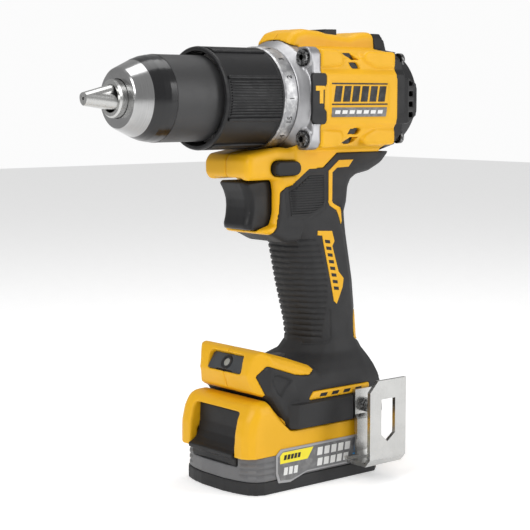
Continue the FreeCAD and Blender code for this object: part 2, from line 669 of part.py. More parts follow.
def guard_form(inset):
    """The lip of the housing round the back of the trigger."""
    def outline(draw):
        d = draw + inset
        return [
            (-20.1 + d, 156.0), (-18.4 + d, 148.0), (-18.4 + d, 137.3), (-20.1 + d, 131.6),
            (-27.4 + d, 129.4), (-27.0 + d, 127.4 + d / 3), (-20.6 + d / 2, 126.2 + d / 2),
            (-12.0, 122.0 + d), (-2.0, 122.0 + d), (-2.0, 156.0),
        ]
    return crowned_plate(outline, GUARD_HALF_WIDTH - inset, 3.0)


def tail_form(inset):
    """The web of the hand between the handle and the rear of the motor housing."""
    def outline(draw):
        d = draw + inset
        return [
            (-12 + d, 172), (-12 + d, 134.6 + d), (1.6, 133.4 + d), (10.6, 137.6 + d), (19.6, 138.2 + d),
            (27.6 - d, 134.0 + d), (29.4 - d, 141.0), (30.4 - d, 148.4 + d / 2), (32.6 - d, 152.0 + d), (37.0 - d / 2, 154.8 + d), (46.0 - d / 2, 156.4 + d),
            (54.0 - d / 2, 160.0 + d), (59.0 - d, 165.0 + d / 2), (60.4 - d, 172),
        ]
    return crowned_plate(outline, 18.4 - inset, 4.5)


def nose_form(inset):
    """The front of the handle above the trigger, with the direction button."""
    def outline(draw):
        d = draw + inset
        return [
            (-38.6 + d, 157.0 + d / 2), (-38.6 + d, 163.6 - d / 2), (-36.4 + d, 166.8 - d),
            (-20.0, 169.5 - d), (6.0, 172.0 - d), (6.0, 150.0 + d), (-16.0, 150.0 + d),
            (-18.0, 154.0 + d), (-36.6 + d, 154.0 + d),
        ]
    return crowned_plate(outline, 17.8 - inset, 2.6)


def barrel_form(inset, low, high):
    """The motor housing above the handle, drawn in by an inset."""
    r = BARREL_RADIUS - inset
    wide = HOUSING_HALF_WIDTH - inset
    top = 219.4 - inset
    section = [
        (-14.6, top), (14.6, top), (r - 4.6, 218.0 - inset), (r + 1.2, 214.0), (r + 1.6, 208.6),
        (wide - 0.4, 206.0), (wide, 203.0), (wide, 184.6), (wide - 0.4, 181.6),
        (r + 1.6, 179.0), (r + 1.2, 174.4), (r - 4.6, 170.0 + inset), (14.0, 166.0 + inset),
    ]
    mirrored_side = [(-y, z) for y, z in section[:0:-1] if y > 0 and z < top]
    points = [(-14.6, top)] + section[1:] + mirrored_side
    return plate(points, "x", low, high)


def housing_form(inset):
    """Everything moulded in the two housing halves, as one closed form."""
    barrel = barrel_form(inset, HOUSING_FRONT, HOUSING_REAR)
    return fuse([barrel, hump_form(inset), handle_form(inset), tail_form(inset), nose_form(inset),
                 guard_form(inset), foot_form(inset)])


def hump_form(inset):
    """The ridge along the top: a rounded front over the gear case, a dip round the slider, a rear dome."""
    top = HOUSING_TOP

    def outline(draw):
        d = draw + inset
        return [
            (-8.8 + d, 218.0), (-8.2 + d, 222.4 - d / 2), (-4.2 + d / 2, top - 1.4 - d), (2.6, top + 0.4 - d),
            (14.0, top - 0.4 - d), (19.0, top - 1.6 - d), (34.0, top - 2.6 - d), (40.0, top - 0.8 - d),
            (46.0, top - d), (HOUSING_REAR, top - 0.2 - d), (HOUSING_REAR, 206.0), (2.0, 206.0),
            (2.0, 217.0),
        ]
    return crowned_plate(outline, 13.6 - inset, 3.4)


def foot_form(inset):
    """The front of the foot: lamp block, arms and cheeks."""
    def outline(draw):
        d = draw + inset
        return [
            (-38.6 + d, 66.0 - 0.8 * d), (-40.4 + d, 58.0), (-37.8 + d, 49.8 + d / 2), (-31.4 + d / 2, 46.4 + d / 2),
            (-19.2 + d / 2, 30.4), (10.0, 30.4), (10.0, 52.0 - d), (-2.0, 59.6 - d), (-18.0, 65.4 - d),
            (-33.6 + d / 2, 70.4 - d), (-36.6 + 0.8 * d, 69.4 - d),
        ]
    block_form = crowned_plate(outline, 27.4 - inset, 4.6)
    corners = []
    for sy in (-1, 1):
        near, far = LAMP_HALF_WIDTH - inset, 28.6 - inset
        corners.append(plate([(-60, sy * near), (-39.4 + inset, sy * near), (-30.6, sy * far), (-30.6, sy * 40),
                              (-60, sy * 40)], "z", 20, 90))
    return block_form.cut(corners)


def grip_region(sign):
    """The outline of the soft grip on one side, as a thick plate."""
    outline = [
        (-40.0, 126.6), (-21.6, 126.6), (-18.2, 130.7), (-16.3, 138.2), (-16.0, 147.7), (0.9, 159.2),
        (10.4, 159.2), (20.1, 166.6), (80.0, 166.6), (80.0, 94.0), (40.5, 86.0), (35.6, 79.0),
        (36.0, 69.5), (52.0, 63.0), (70.0, 60.0), (70.0, 29.0), (-19.6, 29.0), (-21.4, 34.0),
        (-28.4, 42.6), (-33.0, 47.6), (-36.8, 58.0), (-33.0, 63.4), (-15.4, 57.2), (-6.4, 56.2),
        (-2.6, 58.2), (-3.2, 60.4), (-20.0, 70.6), (-40.0, 76.0),
    ]
    low, high = (-40, 0) if sign < 0 else (0, 40)
    return plate(outline, "y", low, high)


def bumper(sign):
    """The thick bar of the soft grip along one side of the foot."""
    foot = FOOT_HALF_WIDTH
    outline = [(-20.6, sign * (foot - 3)), (-20.6, sign * (foot - 1.0)), (-16.6, sign * (foot + 2.0)),
               (20.8, sign * (foot + 2.0)), (20.8, sign * (foot - 3))]
    return plate(outline, "z", 30.4, 42.6)


# Screws through both halves: x, z and the depth of the head's outer face.
HOUSING_SCREWS = ((44.0, 221.0, 12.0), (38.0, 160.5, 15.0), (22.4, 92.0, 15.6), (48.6, 40.0, 24.0))


def make_housing():
    outer = housing_form(0.0).cut(gear_case_room())
    soft = fuse([handle_form(0.0), tail_form(0.0), foot_form(0.0), guard_form(0.0)])
    soft_core = fuse([handle_form(GRIP_SKIN), tail_form(GRIP_SKIN), foot_form(GRIP_SKIN), guard_form(GRIP_SKIN)])
    skin = soft.cut([soft_core, barrel_form(0.0, HOUSING_FRONT - 1, HOUSING_REAR + 20),
                     nose_form(0.0)] + side_windows())
    grips = {}
    for side, sign in (("left", -1), ("right", 1)):
        grip = biggest(skin.common(grip_region(sign))).fuse(bumper(sign))
        grips[side] = grip.cut(battery_room() + housing_screw_holes() + [hook_screw_hole(-1), hook_screw_hole(1)])
    cavity = cavity_form()
    shell = outer.cut([grips["left"], grips["right"]] + cavity + housing_openings())
    left = left_half(shell)
    right = shell.common(block((-BIG, 0, -BIG), (BIG, BIG, 2 * BIG)))
    keep("housing_left", biggest(left))
    keep("housing_right", biggest(right.cut([hook_screw_hole(1)])))
    keep("grip_left", biggest(grips["left"]))
    keep("grip_right", biggest(grips["right"]))


def gear_case_room():
    """The room left round the collar, the number ring and the gear case flange."""
    ring_rear = TORQUE_RING_REAR + RUNNING_CLEARANCE
    return [
        drum(COLLAR_RADIUS + 0.6, COLLAR_FRONT - 1, COLLAR_REAR),
        drum(TORQUE_RING_RADIUS + 0.6, COLLAR_REAR - 1, ring_rear),
        drum(FLANGE_RADIUS + SEAT_CLEARANCE, ring_rear - 1, HOUSING_FRONT),
    ]


def side_windows():
    """The strips on both sides of the foot where the housing shows through the grip, with air slots."""
    windows = []
    for sign in (-1, 1):
        low, high = (-40, -24) if sign < 0 else (24, 40)
        windows.append(plate([(-8.0, 43.4), (-4.4, 47.4), (35.0, 47.4), (35.0, 44.8), (22.0, 43.4)],
                             "y", low, high))
    return windows


def biggest(shape):
    """The largest solid of a shape, without loose slivers."""
    return max(shape.Solids, key=lambda s: s.Volume)


def cavity_form():
    """The room inside the housing for the motor, switch, lamp board and battery rails."""
    wall = SHELL_WALL
    motor = drum(STATOR_RADIUS + SEAT_CLEARANCE, HOUSING_FRONT - 1, HOUSING_REAR + 1)
    flange_room = drum(GEAR_CASE_RADIUS + SEAT_CLEARANCE, HOUSING_FRONT - 1, 12)
    slide_room = block((-3.0, -9.0, 205), (38, 9.0, HOUSING_TOP - 4.6))
    handle = handle_form(GRIP_SKIN + wall)
    handle = handle.common(block((-60, -30, 62.0), (80, 30, 149.0)))
    throat = block((-4, -11.0, 148.0), (26, 11.0, 176.0))
    switch = block((-31.5, -10.0, 156.0), (8, 10.0, 163.5))
    floor = BATTERY_RAIL_TOP + 3.4
    foot = foot_form(GRIP_SKIN + wall).cut(block((-60, -40, 20), (80, 40, floor)))
    flare = handle_form(GRIP_SKIN + wall).common(block((-60, -40, floor), (44, 40, 62.1)))
    terminals = block((22.8, -13.8, BATTERY_RAIL_TOP), (40.2, 13.8, 52.2))
    bosses = [bar_y(3.6, -40, 40, x, z) for x, z, _ in HOUSING_SCREWS]
    rooms = [motor, flange_room, slide_room, handle, throat, switch, foot, flare, terminals]
    return [room.cut(bosses) for room in rooms]


def battery_room():
    """The rail channel that the battery slides into from the front."""
    gap = RUNNING_CLEARANCE
    low = block((-60, -BATTERY_WIDTH / 2 + 1.6, 20), (44.6, BATTERY_WIDTH / 2 - 1.6, BATTERY_CASE_TOP + gap))
    rail = block((-60, -21.0 - gap, 28), (44.6, 21.0 + gap, BATTERY_RAIL_TOP + gap))
    nose = plate([(-60, 20), (-60, 46.2), (-31.8, 46.2), (-19.7, 30.3), (-19.7, 20)], "y", -40, 40)
    return [low, rail, nose]


def housing_openings():
    """Vents, switch, lamp, screw and button openings in the shell."""
    tools = battery_room()
    for y0, y1 in ((-40.0, -20.0), (20.0, 40.0)):
        for x, z, lean in ((16.1, 213.2, -3.4), (17.2, 208.9, -3.0), (18.3, 176.2, 3.0), (16.6, 171.4, 3.2)):
            tools.append(plate([(x, z + 3.0), (x + 5.8, z + 3.0), (x + 5.8 - lean, z), (x - lean, z)]
                               if lean < 0 else
                               [(x + lean, z + 3.0), (x + lean + 5.8, z + 3.0), (x + 5.8, z), (x, z)],
                               "y", y0, y1))
    tools.append(block((18.5, -6.5, HOUSING_TOP - 6.0), (36.0, 6.5, HOUSING_TOP + 5)))
    button = rounded_plate([(-23.4, 155.8), (-5.8, 155.8), (-5.8, 163.4), (-23.4, 163.4)],
                           "y", -30, 30, 3.7)
    tools.append(button)
    room = TRIGGER_HALF_WIDTH + RUNNING_CLEARANCE
    tools.append(block((-45, -room, 128.8), (-6.5, room, 155.2)))
    tools.append(lamp_seat())
    tools.append(block((-16.6, -13.9, 50.0), (-7.6, -1.9, 80.0)))
    tools.append(hook_screw_hole(-1))
    tools.append(block((HOUSING_REAR, -40, 166.6), (80, 40, 240)))
    tools += housing_screw_holes()
    tools += [drum(2.0, HOUSING_FRONT - 1, 12.2, y, z) for y, z in flange_screw_places()]
    tools += [drum(1.9, HOUSING_REAR - 10.2, HOUSING_REAR + 1, y, z) for y, z in cap_screw_places()]
    tools += badge_plates()
    return tools


def flange_screw_places():
    return [(sy * LUG_OFFSET_Y, SPINDLE_HEIGHT + sz * LUG_OFFSET_Z) for sy in (-1, 1) for sz in (-1, 1)]


def hook_screw_hole(sign):
    """The threaded insert's hole for the belt hook, on either side of the foot."""
    low, high = (-40, -22) if sign < 0 else (22, 40)
    return bar_y(HOOK_SCREW_RADIUS, low, high, HOOK_SCREW_X, HOOK_SCREW_Z)


# ---------------------------------------------------------------- lamp
def lamp_frame(shape):
    """Tilt a shape drawn at the lamp's centre so that it faces forward and up."""
    shape.rotate(Vector(0, 0, 0), ALONG_Y, LAMP_TILT)
    shape.translate(Vector(-37.0, 0, 62.2))
    return shape


def lamp_seat():
    return lamp_frame(block((-6, -13.2, -4.6), (3.2, 13.2, 4.6)))


def make_lamp():
    lens = block((-0.9, -13.1, -4.5), (1.2, 13.1, 4.5))
    lens = lens.makeFillet(1.6, [e for e in lens.Edges if abs(e.CenterOfMass.x - 0.15) < 0.1])
    keep("lamp_lens", lamp_frame(lens))
    board = block((1.4, -12.6, -4.2), (2.6, 12.6, 4.2))
    leds = [block((1.2, y - 1.8, -1.8), (1.5, y + 1.8, 1.8)) for y in (-8, 0, 8)]
    keep("lamp_board", lamp_frame(fuse([board] + leds)))


# ---------------------------------------------------------------- trigger, switch and buttons
def make_controls():
    def outline(draw):
        d = draw
        return [
            (-35.6 + d, 152.6 - d / 2), (-33.4 + d, 148.4), (-32.0 + d, 144.4), (-31.7 + d, 140.4),
            (-32.2 + d, 135.8), (-33.4 + d, 131.6), (-33.0 + d, 129.8 + d / 2), (-31.4, 129.1),
            (-15.8, 129.1), (-15.8, 153.4), (-34.6 + d, 153.6 - d / 2),
        ]
    front = crowned_plate(outline, TRIGGER_HALF_WIDTH, 3.2)
    stem = block((-16.0, -5.5, 134.0), (-8.4, 5.5, 149.0))
    hollow = drum(3.6, -14.5, -8.0, 0, 141.5)
    keep("trigger", front.fuse(stem).cut(hollow))
    module = block((-0.6, -9.5, 128.5), (20.0, 9.5, 150.0))
    guide = drum(2.4, -6.0, 0, 0, 141.5)
    keep("switch_module", module.fuse(guide))
    button = rounded_plate([(-23.0, 156.1), (-6.2, 156.1), (-6.2, 163.1), (-23.0, 163.1)],
                           "y", -20.8, 20.8, 3.4)
    ends = [e for e in button.Edges if abs(abs(e.CenterOfMass.y) - 20.8) < 0.01]
    keep("direction_bar", button.makeFillet(0.9, ends))
    knob = rounded_plate([(-16.2, -11.0), (-8.0, -11.0), (-8.0, -4.8), (-16.2, -4.8)], "z", 57.4, 65.0, 1.2)
    keep("lamp_switch", knob)


def make_speed_slider():
    """Slider on top and the wire that carries the shift ring with it."""
    top = HOUSING_TOP
    outline = [(19.0, top - 4.0), (22.4, top + 0.9), (30.4, top + 1.1), (30.4, top - 4.0)]
    body = plate(outline, "y", -6.1, 6.1)
    steps = [block((x, -7, top + 0.5), (x + 1.0, 7, top + 2)) for x in (24.0, 26.2, 28.4)]
    skirt = block((14.0, -7.8, top - 6.0), (30.6, 7.8, top - 4.9))
    post = block((19.6, -5.0, top - 5.0), (30.0, 5.0, top - 3.9))
    keep("speed_slider", fuse([body, skirt, post]).cut(steps))
    path = [Vector(22.0, 0, top - 6.8), Vector(-4.4, 0, top - 6.8), Vector(-4.4, 0, SPINDLE_HEIGHT + 18.4)]
    bar = drum(0.8, path[1].x, path[0].x, 0, path[0].z)
    leg = Part.makeCylinder(0.8, path[1].z - path[2].z, path[2], ALONG_Z)
    corner = Part.makeSphere(0.8, path[1])
    keep("shift_wire", fuse([bar, leg, corner]))


# ---------------------------------------------------------------- rear cap, badges, screws, hook
def make_rear_cap():
    section = [
        (-11.4, 227.6), (11.4, 227.6), (13.0, 225.4), (14.4, 219.2), (24.0, 217.8), (28.4, 214.2),
        (28.8, 208.8), (30.6, 206.0), (30.8, 186.0), (28.8, 179.2), (28.4, 174.6), (24.0, 170.6),
        (12.0, 166.9), (-12.0, 166.9), (-24.0, 170.6), (-28.4, 174.6), (-28.8, 179.2), (-30.8, 186.0),
        (-30.6, 206.0), (-28.8, 208.8), (-28.4, 214.2), (-24.0, 217.8), (-14.4, 219.2), (-13.0, 225.4),
    ]
    rim = plate(section, "x", HOUSING_REAR, HOUSING_REAR + 6.4)
    top = plate([(HOUSING_REAR, 227.6), (HOUSING_REAR + 5.0, 227.0), (HOUSING_REAR + 8.6, 224.0),
                 (HOUSING_REAR + 10.6, 218.0), (HOUSING_REAR, 210.0)], "y", -12.4, 12.4)
    middle = turned([(HOUSING_REAR, 0), (HOUSING_REAR, 27.4), (CAP_REAR - 12, 27.0), (CAP_REAR - 2.2, 25.6),
                     (CAP_REAR, 23.6), (CAP_REAR, 0)])
    sides = plate([(HOUSING_REAR, 204.0), (HOUSING_REAR + 10, 204.6), (CAP_REAR - 1.4, 201.6), (CAP_REAR, 199.0),
                   (CAP_REAR, 188.0), (CAP_REAR - 1.4, 185.0), (HOUSING_REAR + 10, 181.0), (HOUSING_REAR, 181.6)],
                  "y", -30.4, 30.4)
    trim = [plate([(HOUSING_REAR + 7, sy * 31), (CAP_REAR + 1, sy * 31), (CAP_REAR + 1, sy * 23.4)],
                  "z", 150, 250) for sy in (-1, 1)]
    solid = fuse([rim, top, middle, sides.cut(trim)])
    inside = turned([(HOUSING_REAR - 1, 0), (HOUSING_REAR - 1, 24.4), (CAP_REAR - 12, 24.0), (61.4, 12.0),
                     (61.4, 8.0), (CAP_REAR - 6, 8.0), (CAP_REAR - 6, 0)])
    slots = []
    for sy in (-1, 1):
        for k in range(4):
            z = 184.4 + 5.4 * k
            slots.append(block((HOUSING_REAR + 10.5, min(sy * 17, sy * 34), z), (CAP_REAR - 5.5, max(sy * 17, sy * 34), z + 2.6)))
    holes = cap_screw_places()
    drills = [drum(2.1, HOUSING_REAR - 1, 80, y, z) for y, z in holes]
    sinks = [drum(3.6, HOUSING_REAR + 4.4, 80, y, z).cut(drum(30, HOUSING_REAR, 80)) for y, z in holes]
    lower_room = block((HOUSING_REAR - 1, -40, 150), (80, 40, 166.8))
    keep("rear_cap", solid.cut([inside, lower_room] + slots + drills + sinks))
    screws = []
    for y, z in holes:
        head = drum(3.3, HOUSING_REAR + 6.4, HOUSING_REAR + 8.6, y, z)
        shank = drum(1.9, HOUSING_REAR - 10, HOUSING_REAR + 6.5, y, z)
        star = plate([(y + (1.5 if n % 2 == 0 else 1.0) * math.cos(math.pi * n / 6),
                       z + (1.5 if n % 2 == 0 else 1.0) * math.sin(math.pi * n / 6))
                      for n in range(12)], "x", HOUSING_REAR + 7.4, HOUSING_REAR + 9)
        screws.append(head.fuse(shank).cut(star))
    keep("case_screws", Part.makeCompound(screws + housing_screws()))


def cap_screw_places():
    return [(sy * 24.6, SPINDLE_HEIGHT + sz * 20.0) for sy in (-1, 1) for sz in (-1, 1)]


def badge_plates():
    """Notched plates on both sides, half on the gear case and half on the housing."""
    outline = [
        (-8.6, 206.4), (-9.4, 204.8), (-8.8, 200.0), (-8.8, 188.0), (-9.4, 183.6), (-7.6, 181.4),
        (-0.6, 181.4), (0.6, 183.2), (0.4, 187.6), (-1.0, 189.0), (-1.0, 199.4), (0.4, 201.0),
        (0.6, 205.0), (-0.4, 206.4),
    ]
    left = plate(outline, "y", -HOUSING_HALF_WIDTH - 0.2, -HOUSING_HALF_WIDTH + 1.4)
    return [left, mirrored(left)]


def housing_screws():
    """The long screws that hold the two halves together, put in from the right."""
    screws = []
    for x, z, depth in HOUSING_SCREWS:
        head = bar_y(2.8, depth - 2.4, depth, x, z)
        shank = bar_y(1.5, -depth + 6, depth - 2.4, x, z)
        screws.append(head.fuse(shank))
    return screws


def housing_screw_holes():
    """Their holes: thread, shank and head room open to the right side."""
    holes = []
    for x, z, depth in HOUSING_SCREWS:
        holes.append(bar_y(1.5, -depth + 6, depth, x, z))
        holes.append(bar_y(2.9, depth - 2.4, 45, x, z))
    return holes


def make_belt_hook():
    """Sprung steel strap: pad on the foot, step outward, run down, U-bend, front plate with a slot."""
    t = HOOK_THICKNESS
    foot = FOOT_HALF_WIDTH
    outer = foot + 21.0
    lower = 9.0
    run = [
        (-foot, 45.6), (-foot, 31.8), (-foot - 1.6, 29.4), (-foot - 1.6, lower + 4.0), (-foot - 3.6, lower),
        (-outer + 3.4, lower), (-outer, lower + 4.0), (-outer, 53.0),
        (-outer + t, 53.0), (-outer + t, lower + 4.6), (-outer + 4.4, lower + t), (-foot - 4.4, lower + t),
    ]
    inner = [(-foot - 1.6 - t, lower + 4.6), (-foot - 1.6 - t, 30.2), (-foot - t, 32.6), (-foot - t, 45.6)]
    strap = plate(run + inner, "x", 14.0, 39.4)
    narrow = block((0, -foot - 12, lower + 3), (21.8, 0, 60))
    narrow_rear = block((36.2, -foot - 12, lower + 3), (60, 0, 60))
    slot = plate([(21.9, 43.3), (31.6, 43.3), (31.6, 25.2), (26.3, 21.3), (21.9, 25.2)], "y", -outer - 1, -outer + t + 1)
    corner = plate([(13, 54), (13, 46.5), (20.5, 54)], "y", -outer - 1, -outer + t + 1)
    hole = bar_y(HOOK_SCREW_RADIUS + 0.2, -outer, 0, HOOK_SCREW_X, HOOK_SCREW_Z).common(
        block((0, -foot - 5, 0), (60, 0, 60)))
    keep("belt_hook", strap.cut([narrow, narrow_rear, slot, corner, hole]))
    head_out = -foot - t - 3.2
    head = bar_y(3.6, head_out, -foot - t, HOOK_SCREW_X, HOOK_SCREW_Z)
    shank = bar_y(HOOK_SCREW_RADIUS - SEAT_CLEARANCE, -foot - t, -22.6, HOOK_SCREW_X, HOOK_SCREW_Z)
    socket = plate([(HOOK_SCREW_X + (2.0 if n % 2 == 0 else 1.4) * math.cos(math.pi * n / 6),
                     HOOK_SCREW_Z + (2.0 if n % 2 == 0 else 1.4) * math.sin(math.pi * n / 6))
                    for n in range(12)], "y", head_out - 0.1, head_out + 1.8)
    keep("hook_screw", head.fuse(shank).cut(socket))


# ---------------------------------------------------------------- battery
def battery_outline(inset):
    """The battery's outline from above, with chamfered corners."""
    x0 = BATTERY_FRONT + inset
    x1 = BATTERY_FRONT + BATTERY_LENGTH - inset
    w = BATTERY_WIDTH / 2 - inset
    return [
        (x0, -9.0), (x0 + 1.2, -17.0), (x0 + 3.4, -w + 5.0), (x0 + 6.2, -w + 1.6), (x0 + 10.0, -w), (x1 - 6.0, -w), (x1 - 1.0, -w + 4.0), (x1, -w + 8.0),
        (x1, w - 8.0), (x1 - 1.0, w - 4.0), (x1 - 6.0, w),
        (x0 + 10.0, w), (x0 + 6.2, w - 1.6), (x0 + 3.4, w - 5.0), (x0 + 1.2, 17.0), (x0, 9.0),
    ]


def make_battery():
    """Slide pack: rubber base, grey band, yellow top case with rails, latch button and cells."""
    base = plate(battery_outline(0.0), "z", 0.0, BATTERY_BASE_TOP)
    base = base.cut(plate(battery_outline(2.4), "z", 2.0, BATTERY_BASE_TOP + 1))
    keep("battery_base", base)
    band = plate(battery_outline(0.4), "z", BATTERY_BASE_TOP, BATTERY_BAND_TOP)
    band = band.cut([plate(battery_outline(3.0), "z", BATTERY_BASE_TOP - 1, BATTERY_BAND_TOP + 1),
                     block((BATTERY_FRONT - 2, -LATCH_HALF_WIDTH - 0.3, 13.5), (-35.4, LATCH_HALF_WIDTH + 0.3, 30.0))])
    keep("battery_lower_case", band)
    top = plate(battery_outline(0.4), "z", BATTERY_BAND_TOP, BATTERY_CASE_TOP)
    deck = block((BATTERY_FRONT + 8, -21.0, BATTERY_CASE_TOP - 1), (43.6, 21.0, BATTERY_RAIL_TOP))
    def nose_outline(draw):
        d = draw
        return [
            (BATTERY_FRONT - 0.4 + d, BATTERY_BAND_TOP), (BATTERY_FRONT - 0.4 + d, 30.0),
            (BATTERY_FRONT + 1.4 + d, 38.0 - d / 3), (BATTERY_FRONT + 5.0 + d / 2, 43.8 - d),
            (BATTERY_FRONT + 8.4, 45.6 - d), (-32.2, 45.8 - d), (-20.2, 30.0), (-20.2, BATTERY_BAND_TOP),
        ]
    front_rise = crowned_plate(nose_outline, BATTERY_WIDTH / 2 - 0.4, 5.0)
    grooves = [block((BATTERY_FRONT + 22, min(sy * 17.6, sy * 22), 32.2), (44, max(sy * 17.6, sy * 22), 36.4))
               for sy in (-1, 1)]
    slots = [block((24, y - 1.4, 34), (44, y + 1.4, 42)) for y in TERMINAL_PLACES]
    slots.append(block((19.7, 25.0, 21.3), (27.3, 30.0, 26.9)))
    latch_room = block((BATTERY_FRONT - 2, -LATCH_HALF_WIDTH - 0.3, 13.5), (-35.4, LATCH_HALF_WIDTH + 0.3, 40.6))
    inside = plate(battery_outline(3.0), "z", BATTERY_BAND_TOP - 1, BATTERY_CASE_TOP - 2.4)
    upper_inside = block((BATTERY_FRONT + 12, -16.0, 20), (41.0, 16.0, BATTERY_RAIL_TOP - 2.4))
    solid = fuse([top, deck, front_rise]).cut(grooves + slots + [latch_room, inside, upper_inside])
    keep("battery_top_case", solid)
    scoop = plate([(-41.4, 40.2), (-38.6, 40.2), (-38.6, 13.9), (-46.4, 13.9), (-46.8, 17.2), (-49.0, 18.2),
                   (-49.2, 20.2), (-46.8, 21.2), (-44.4, 23.0), (-42.8, 26.4), (-41.8, 31.6)],
                  "y", -LATCH_HALF_WIDTH, LATCH_HALF_WIDTH)
    keep("battery_latch", scoop)
    cells = []
    for x in (-22.5, -1.5, 19.5):
        cells.append(block((x - 9.6, -22.5, 3.0), (x + 9.6, 22.5, 25.0)))
    keep("cell_stack", Part.makeCompound([cells[0], cells[1], cells[2]]))
    contacts = [block((27, y - 1.2, 27.4), (39, y - 0.2, 37.6)) for y in TERMINAL_PLACES]
    board = block((-22, -15.6, 26.0), (40, 15.6, 27.4))
    keep("battery_board", Part.makeCompound([board] + contacts))
    gauge = block((20, BATTERY_WIDTH / 2 - 1.8, 21.6), (27, BATTERY_WIDTH / 2 + 0.2, 26.6))
    keep("gauge_button", gauge)
    terminal = block((23.0, -13.6, BATTERY_RAIL_TOP + 0.6), (40.0, 13.6, 52.0))
    blades = [block((25.6, y + 0.3, 36.0), (38.0, y + 1.0, BATTERY_RAIL_TOP + 1)) for y in TERMINAL_PLACES]
    keep("terminal_block", fuse([terminal] + blades))


def write_parts():
    os.makedirs("parts", exist_ok=True)
    for name, shape in PARTS.items():
        shape.exportStep("parts/" + name + ".step")
    print(len(PARTS), "pieces")


make_jaws()
make_chuck_body()
make_chuck_sleeve()
make_chuck_screw()
make_spindle()
make_bearings()
make_gears()
make_gear_case()
make_motor_plate()
make_clutch()
make_motor()
make_housing()
make_lamp()
make_controls()
make_speed_slider()
make_rear_cap()
keep("side_badges", Part.makeCompound(badge_plates()))
make_belt_hook()
make_battery()
write_parts()
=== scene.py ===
import json
import math
import bpy
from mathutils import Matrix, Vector


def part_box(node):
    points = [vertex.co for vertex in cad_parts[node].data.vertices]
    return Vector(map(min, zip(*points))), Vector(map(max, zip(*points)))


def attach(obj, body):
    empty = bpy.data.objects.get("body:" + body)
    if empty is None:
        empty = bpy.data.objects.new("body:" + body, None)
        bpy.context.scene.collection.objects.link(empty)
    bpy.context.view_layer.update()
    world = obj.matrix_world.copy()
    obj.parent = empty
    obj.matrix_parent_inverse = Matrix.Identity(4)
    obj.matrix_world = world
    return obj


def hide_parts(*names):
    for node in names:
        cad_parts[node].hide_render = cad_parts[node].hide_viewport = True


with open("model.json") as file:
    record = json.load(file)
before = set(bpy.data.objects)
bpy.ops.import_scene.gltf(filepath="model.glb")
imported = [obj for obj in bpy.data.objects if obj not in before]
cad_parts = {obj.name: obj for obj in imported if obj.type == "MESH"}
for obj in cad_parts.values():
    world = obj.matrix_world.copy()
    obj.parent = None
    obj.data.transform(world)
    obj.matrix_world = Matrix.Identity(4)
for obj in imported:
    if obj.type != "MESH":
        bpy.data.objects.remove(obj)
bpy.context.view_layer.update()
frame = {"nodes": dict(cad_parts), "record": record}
nodes = frame["nodes"]

MM = 0.001
SPINDLE_Z = 194.0
OUTSIDE_Y = 40.0            # clear of the drill's widest part


# ---------------------------------------------------------------- node groups
def new_group(name, inputs, outputs):
    """A shader group with float inputs and the outputs given as (kind, name)."""
    group = bpy.data.node_groups.new(name, "ShaderNodeTree")
    for label, value in inputs:
        socket = group.interface.new_socket(label, in_out="INPUT", socket_type="NodeSocketFloat")
        socket.default_value = value
    for kind, label in outputs:
        group.interface.new_socket(label, in_out="OUTPUT", socket_type=kind)
    start = group.nodes.new("NodeGroupInput")
    end = group.nodes.new("NodeGroupOutput")
    return group, start, end


def add(tree, kind, **settings):
    """A node with its settings; a value for a socket is given by the socket's name."""
    node = tree.nodes.new(kind)
    for key, value in settings.items():
        if key == "sockets":
            for name, item in value.items():
                node.inputs[name].default_value = item
        else:
            setattr(node, key, value)
    return node


def math_node(tree, operation, first, second=None, third=None):
    """A Math node on sockets or numbers; returns its output."""
    node = tree.nodes.new("ShaderNodeMath")
    node.operation = operation
    for place, value in enumerate((first, second, third)):
        if value is None:
            continue
        if isinstance(value, (int, float)):
            node.inputs[place].default_value = value
        else:
            tree.links.new(value, node.inputs[place])
    return node.outputs[0]


def ramp(tree, value, low, high):
    """Value mapped smoothly from low..high to 0..1."""
    node = tree.nodes.new("ShaderNodeMapRange")
    node.interpolation_type = "SMOOTHSTEP"
    node.inputs["From Min"].default_value = low
    node.inputs["From Max"].default_value = high
    tree.links.new(value, node.inputs["Value"])
    return node.outputs["Result"]


def build_moulded_grain():
    """Fine spark-eroded mould texture with a slow unevenness under it."""
    group, start, end = new_group("moulded_grain", [("Scale", 900.0), ("Slow scale", 60.0)],
                                  [("NodeSocketFloat", "Height"), ("NodeSocketFloat", "Patches")])
    place = group.nodes.new("ShaderNodeTexCoord")
    fine = add(group, "ShaderNodeTexNoise", sockets={"Detail": 3.0, "Roughness": 0.6})
    pits = add(group, "ShaderNodeTexVoronoi", feature="SMOOTH_F1")
    slow = add(group, "ShaderNodeTexNoise", sockets={"Detail": 4.0, "Roughness": 0.55})
    for node, socket in ((fine, "Scale"), (pits, "Scale"), (slow, "Slow scale")):
        group.links.new(place.outputs["Object"], node.inputs["Vector"])
        group.links.new(start.outputs[socket], node.inputs["Scale"])
    mixed = math_node(group, "MULTIPLY_ADD", pits.outputs["Distance"], 0.6, fine.outputs["Fac"])
    group.links.new(mixed, end.inputs["Height"])
    group.links.new(ramp(group, slow.outputs["Fac"], 0.35, 0.7), end.inputs["Patches"])
    return group


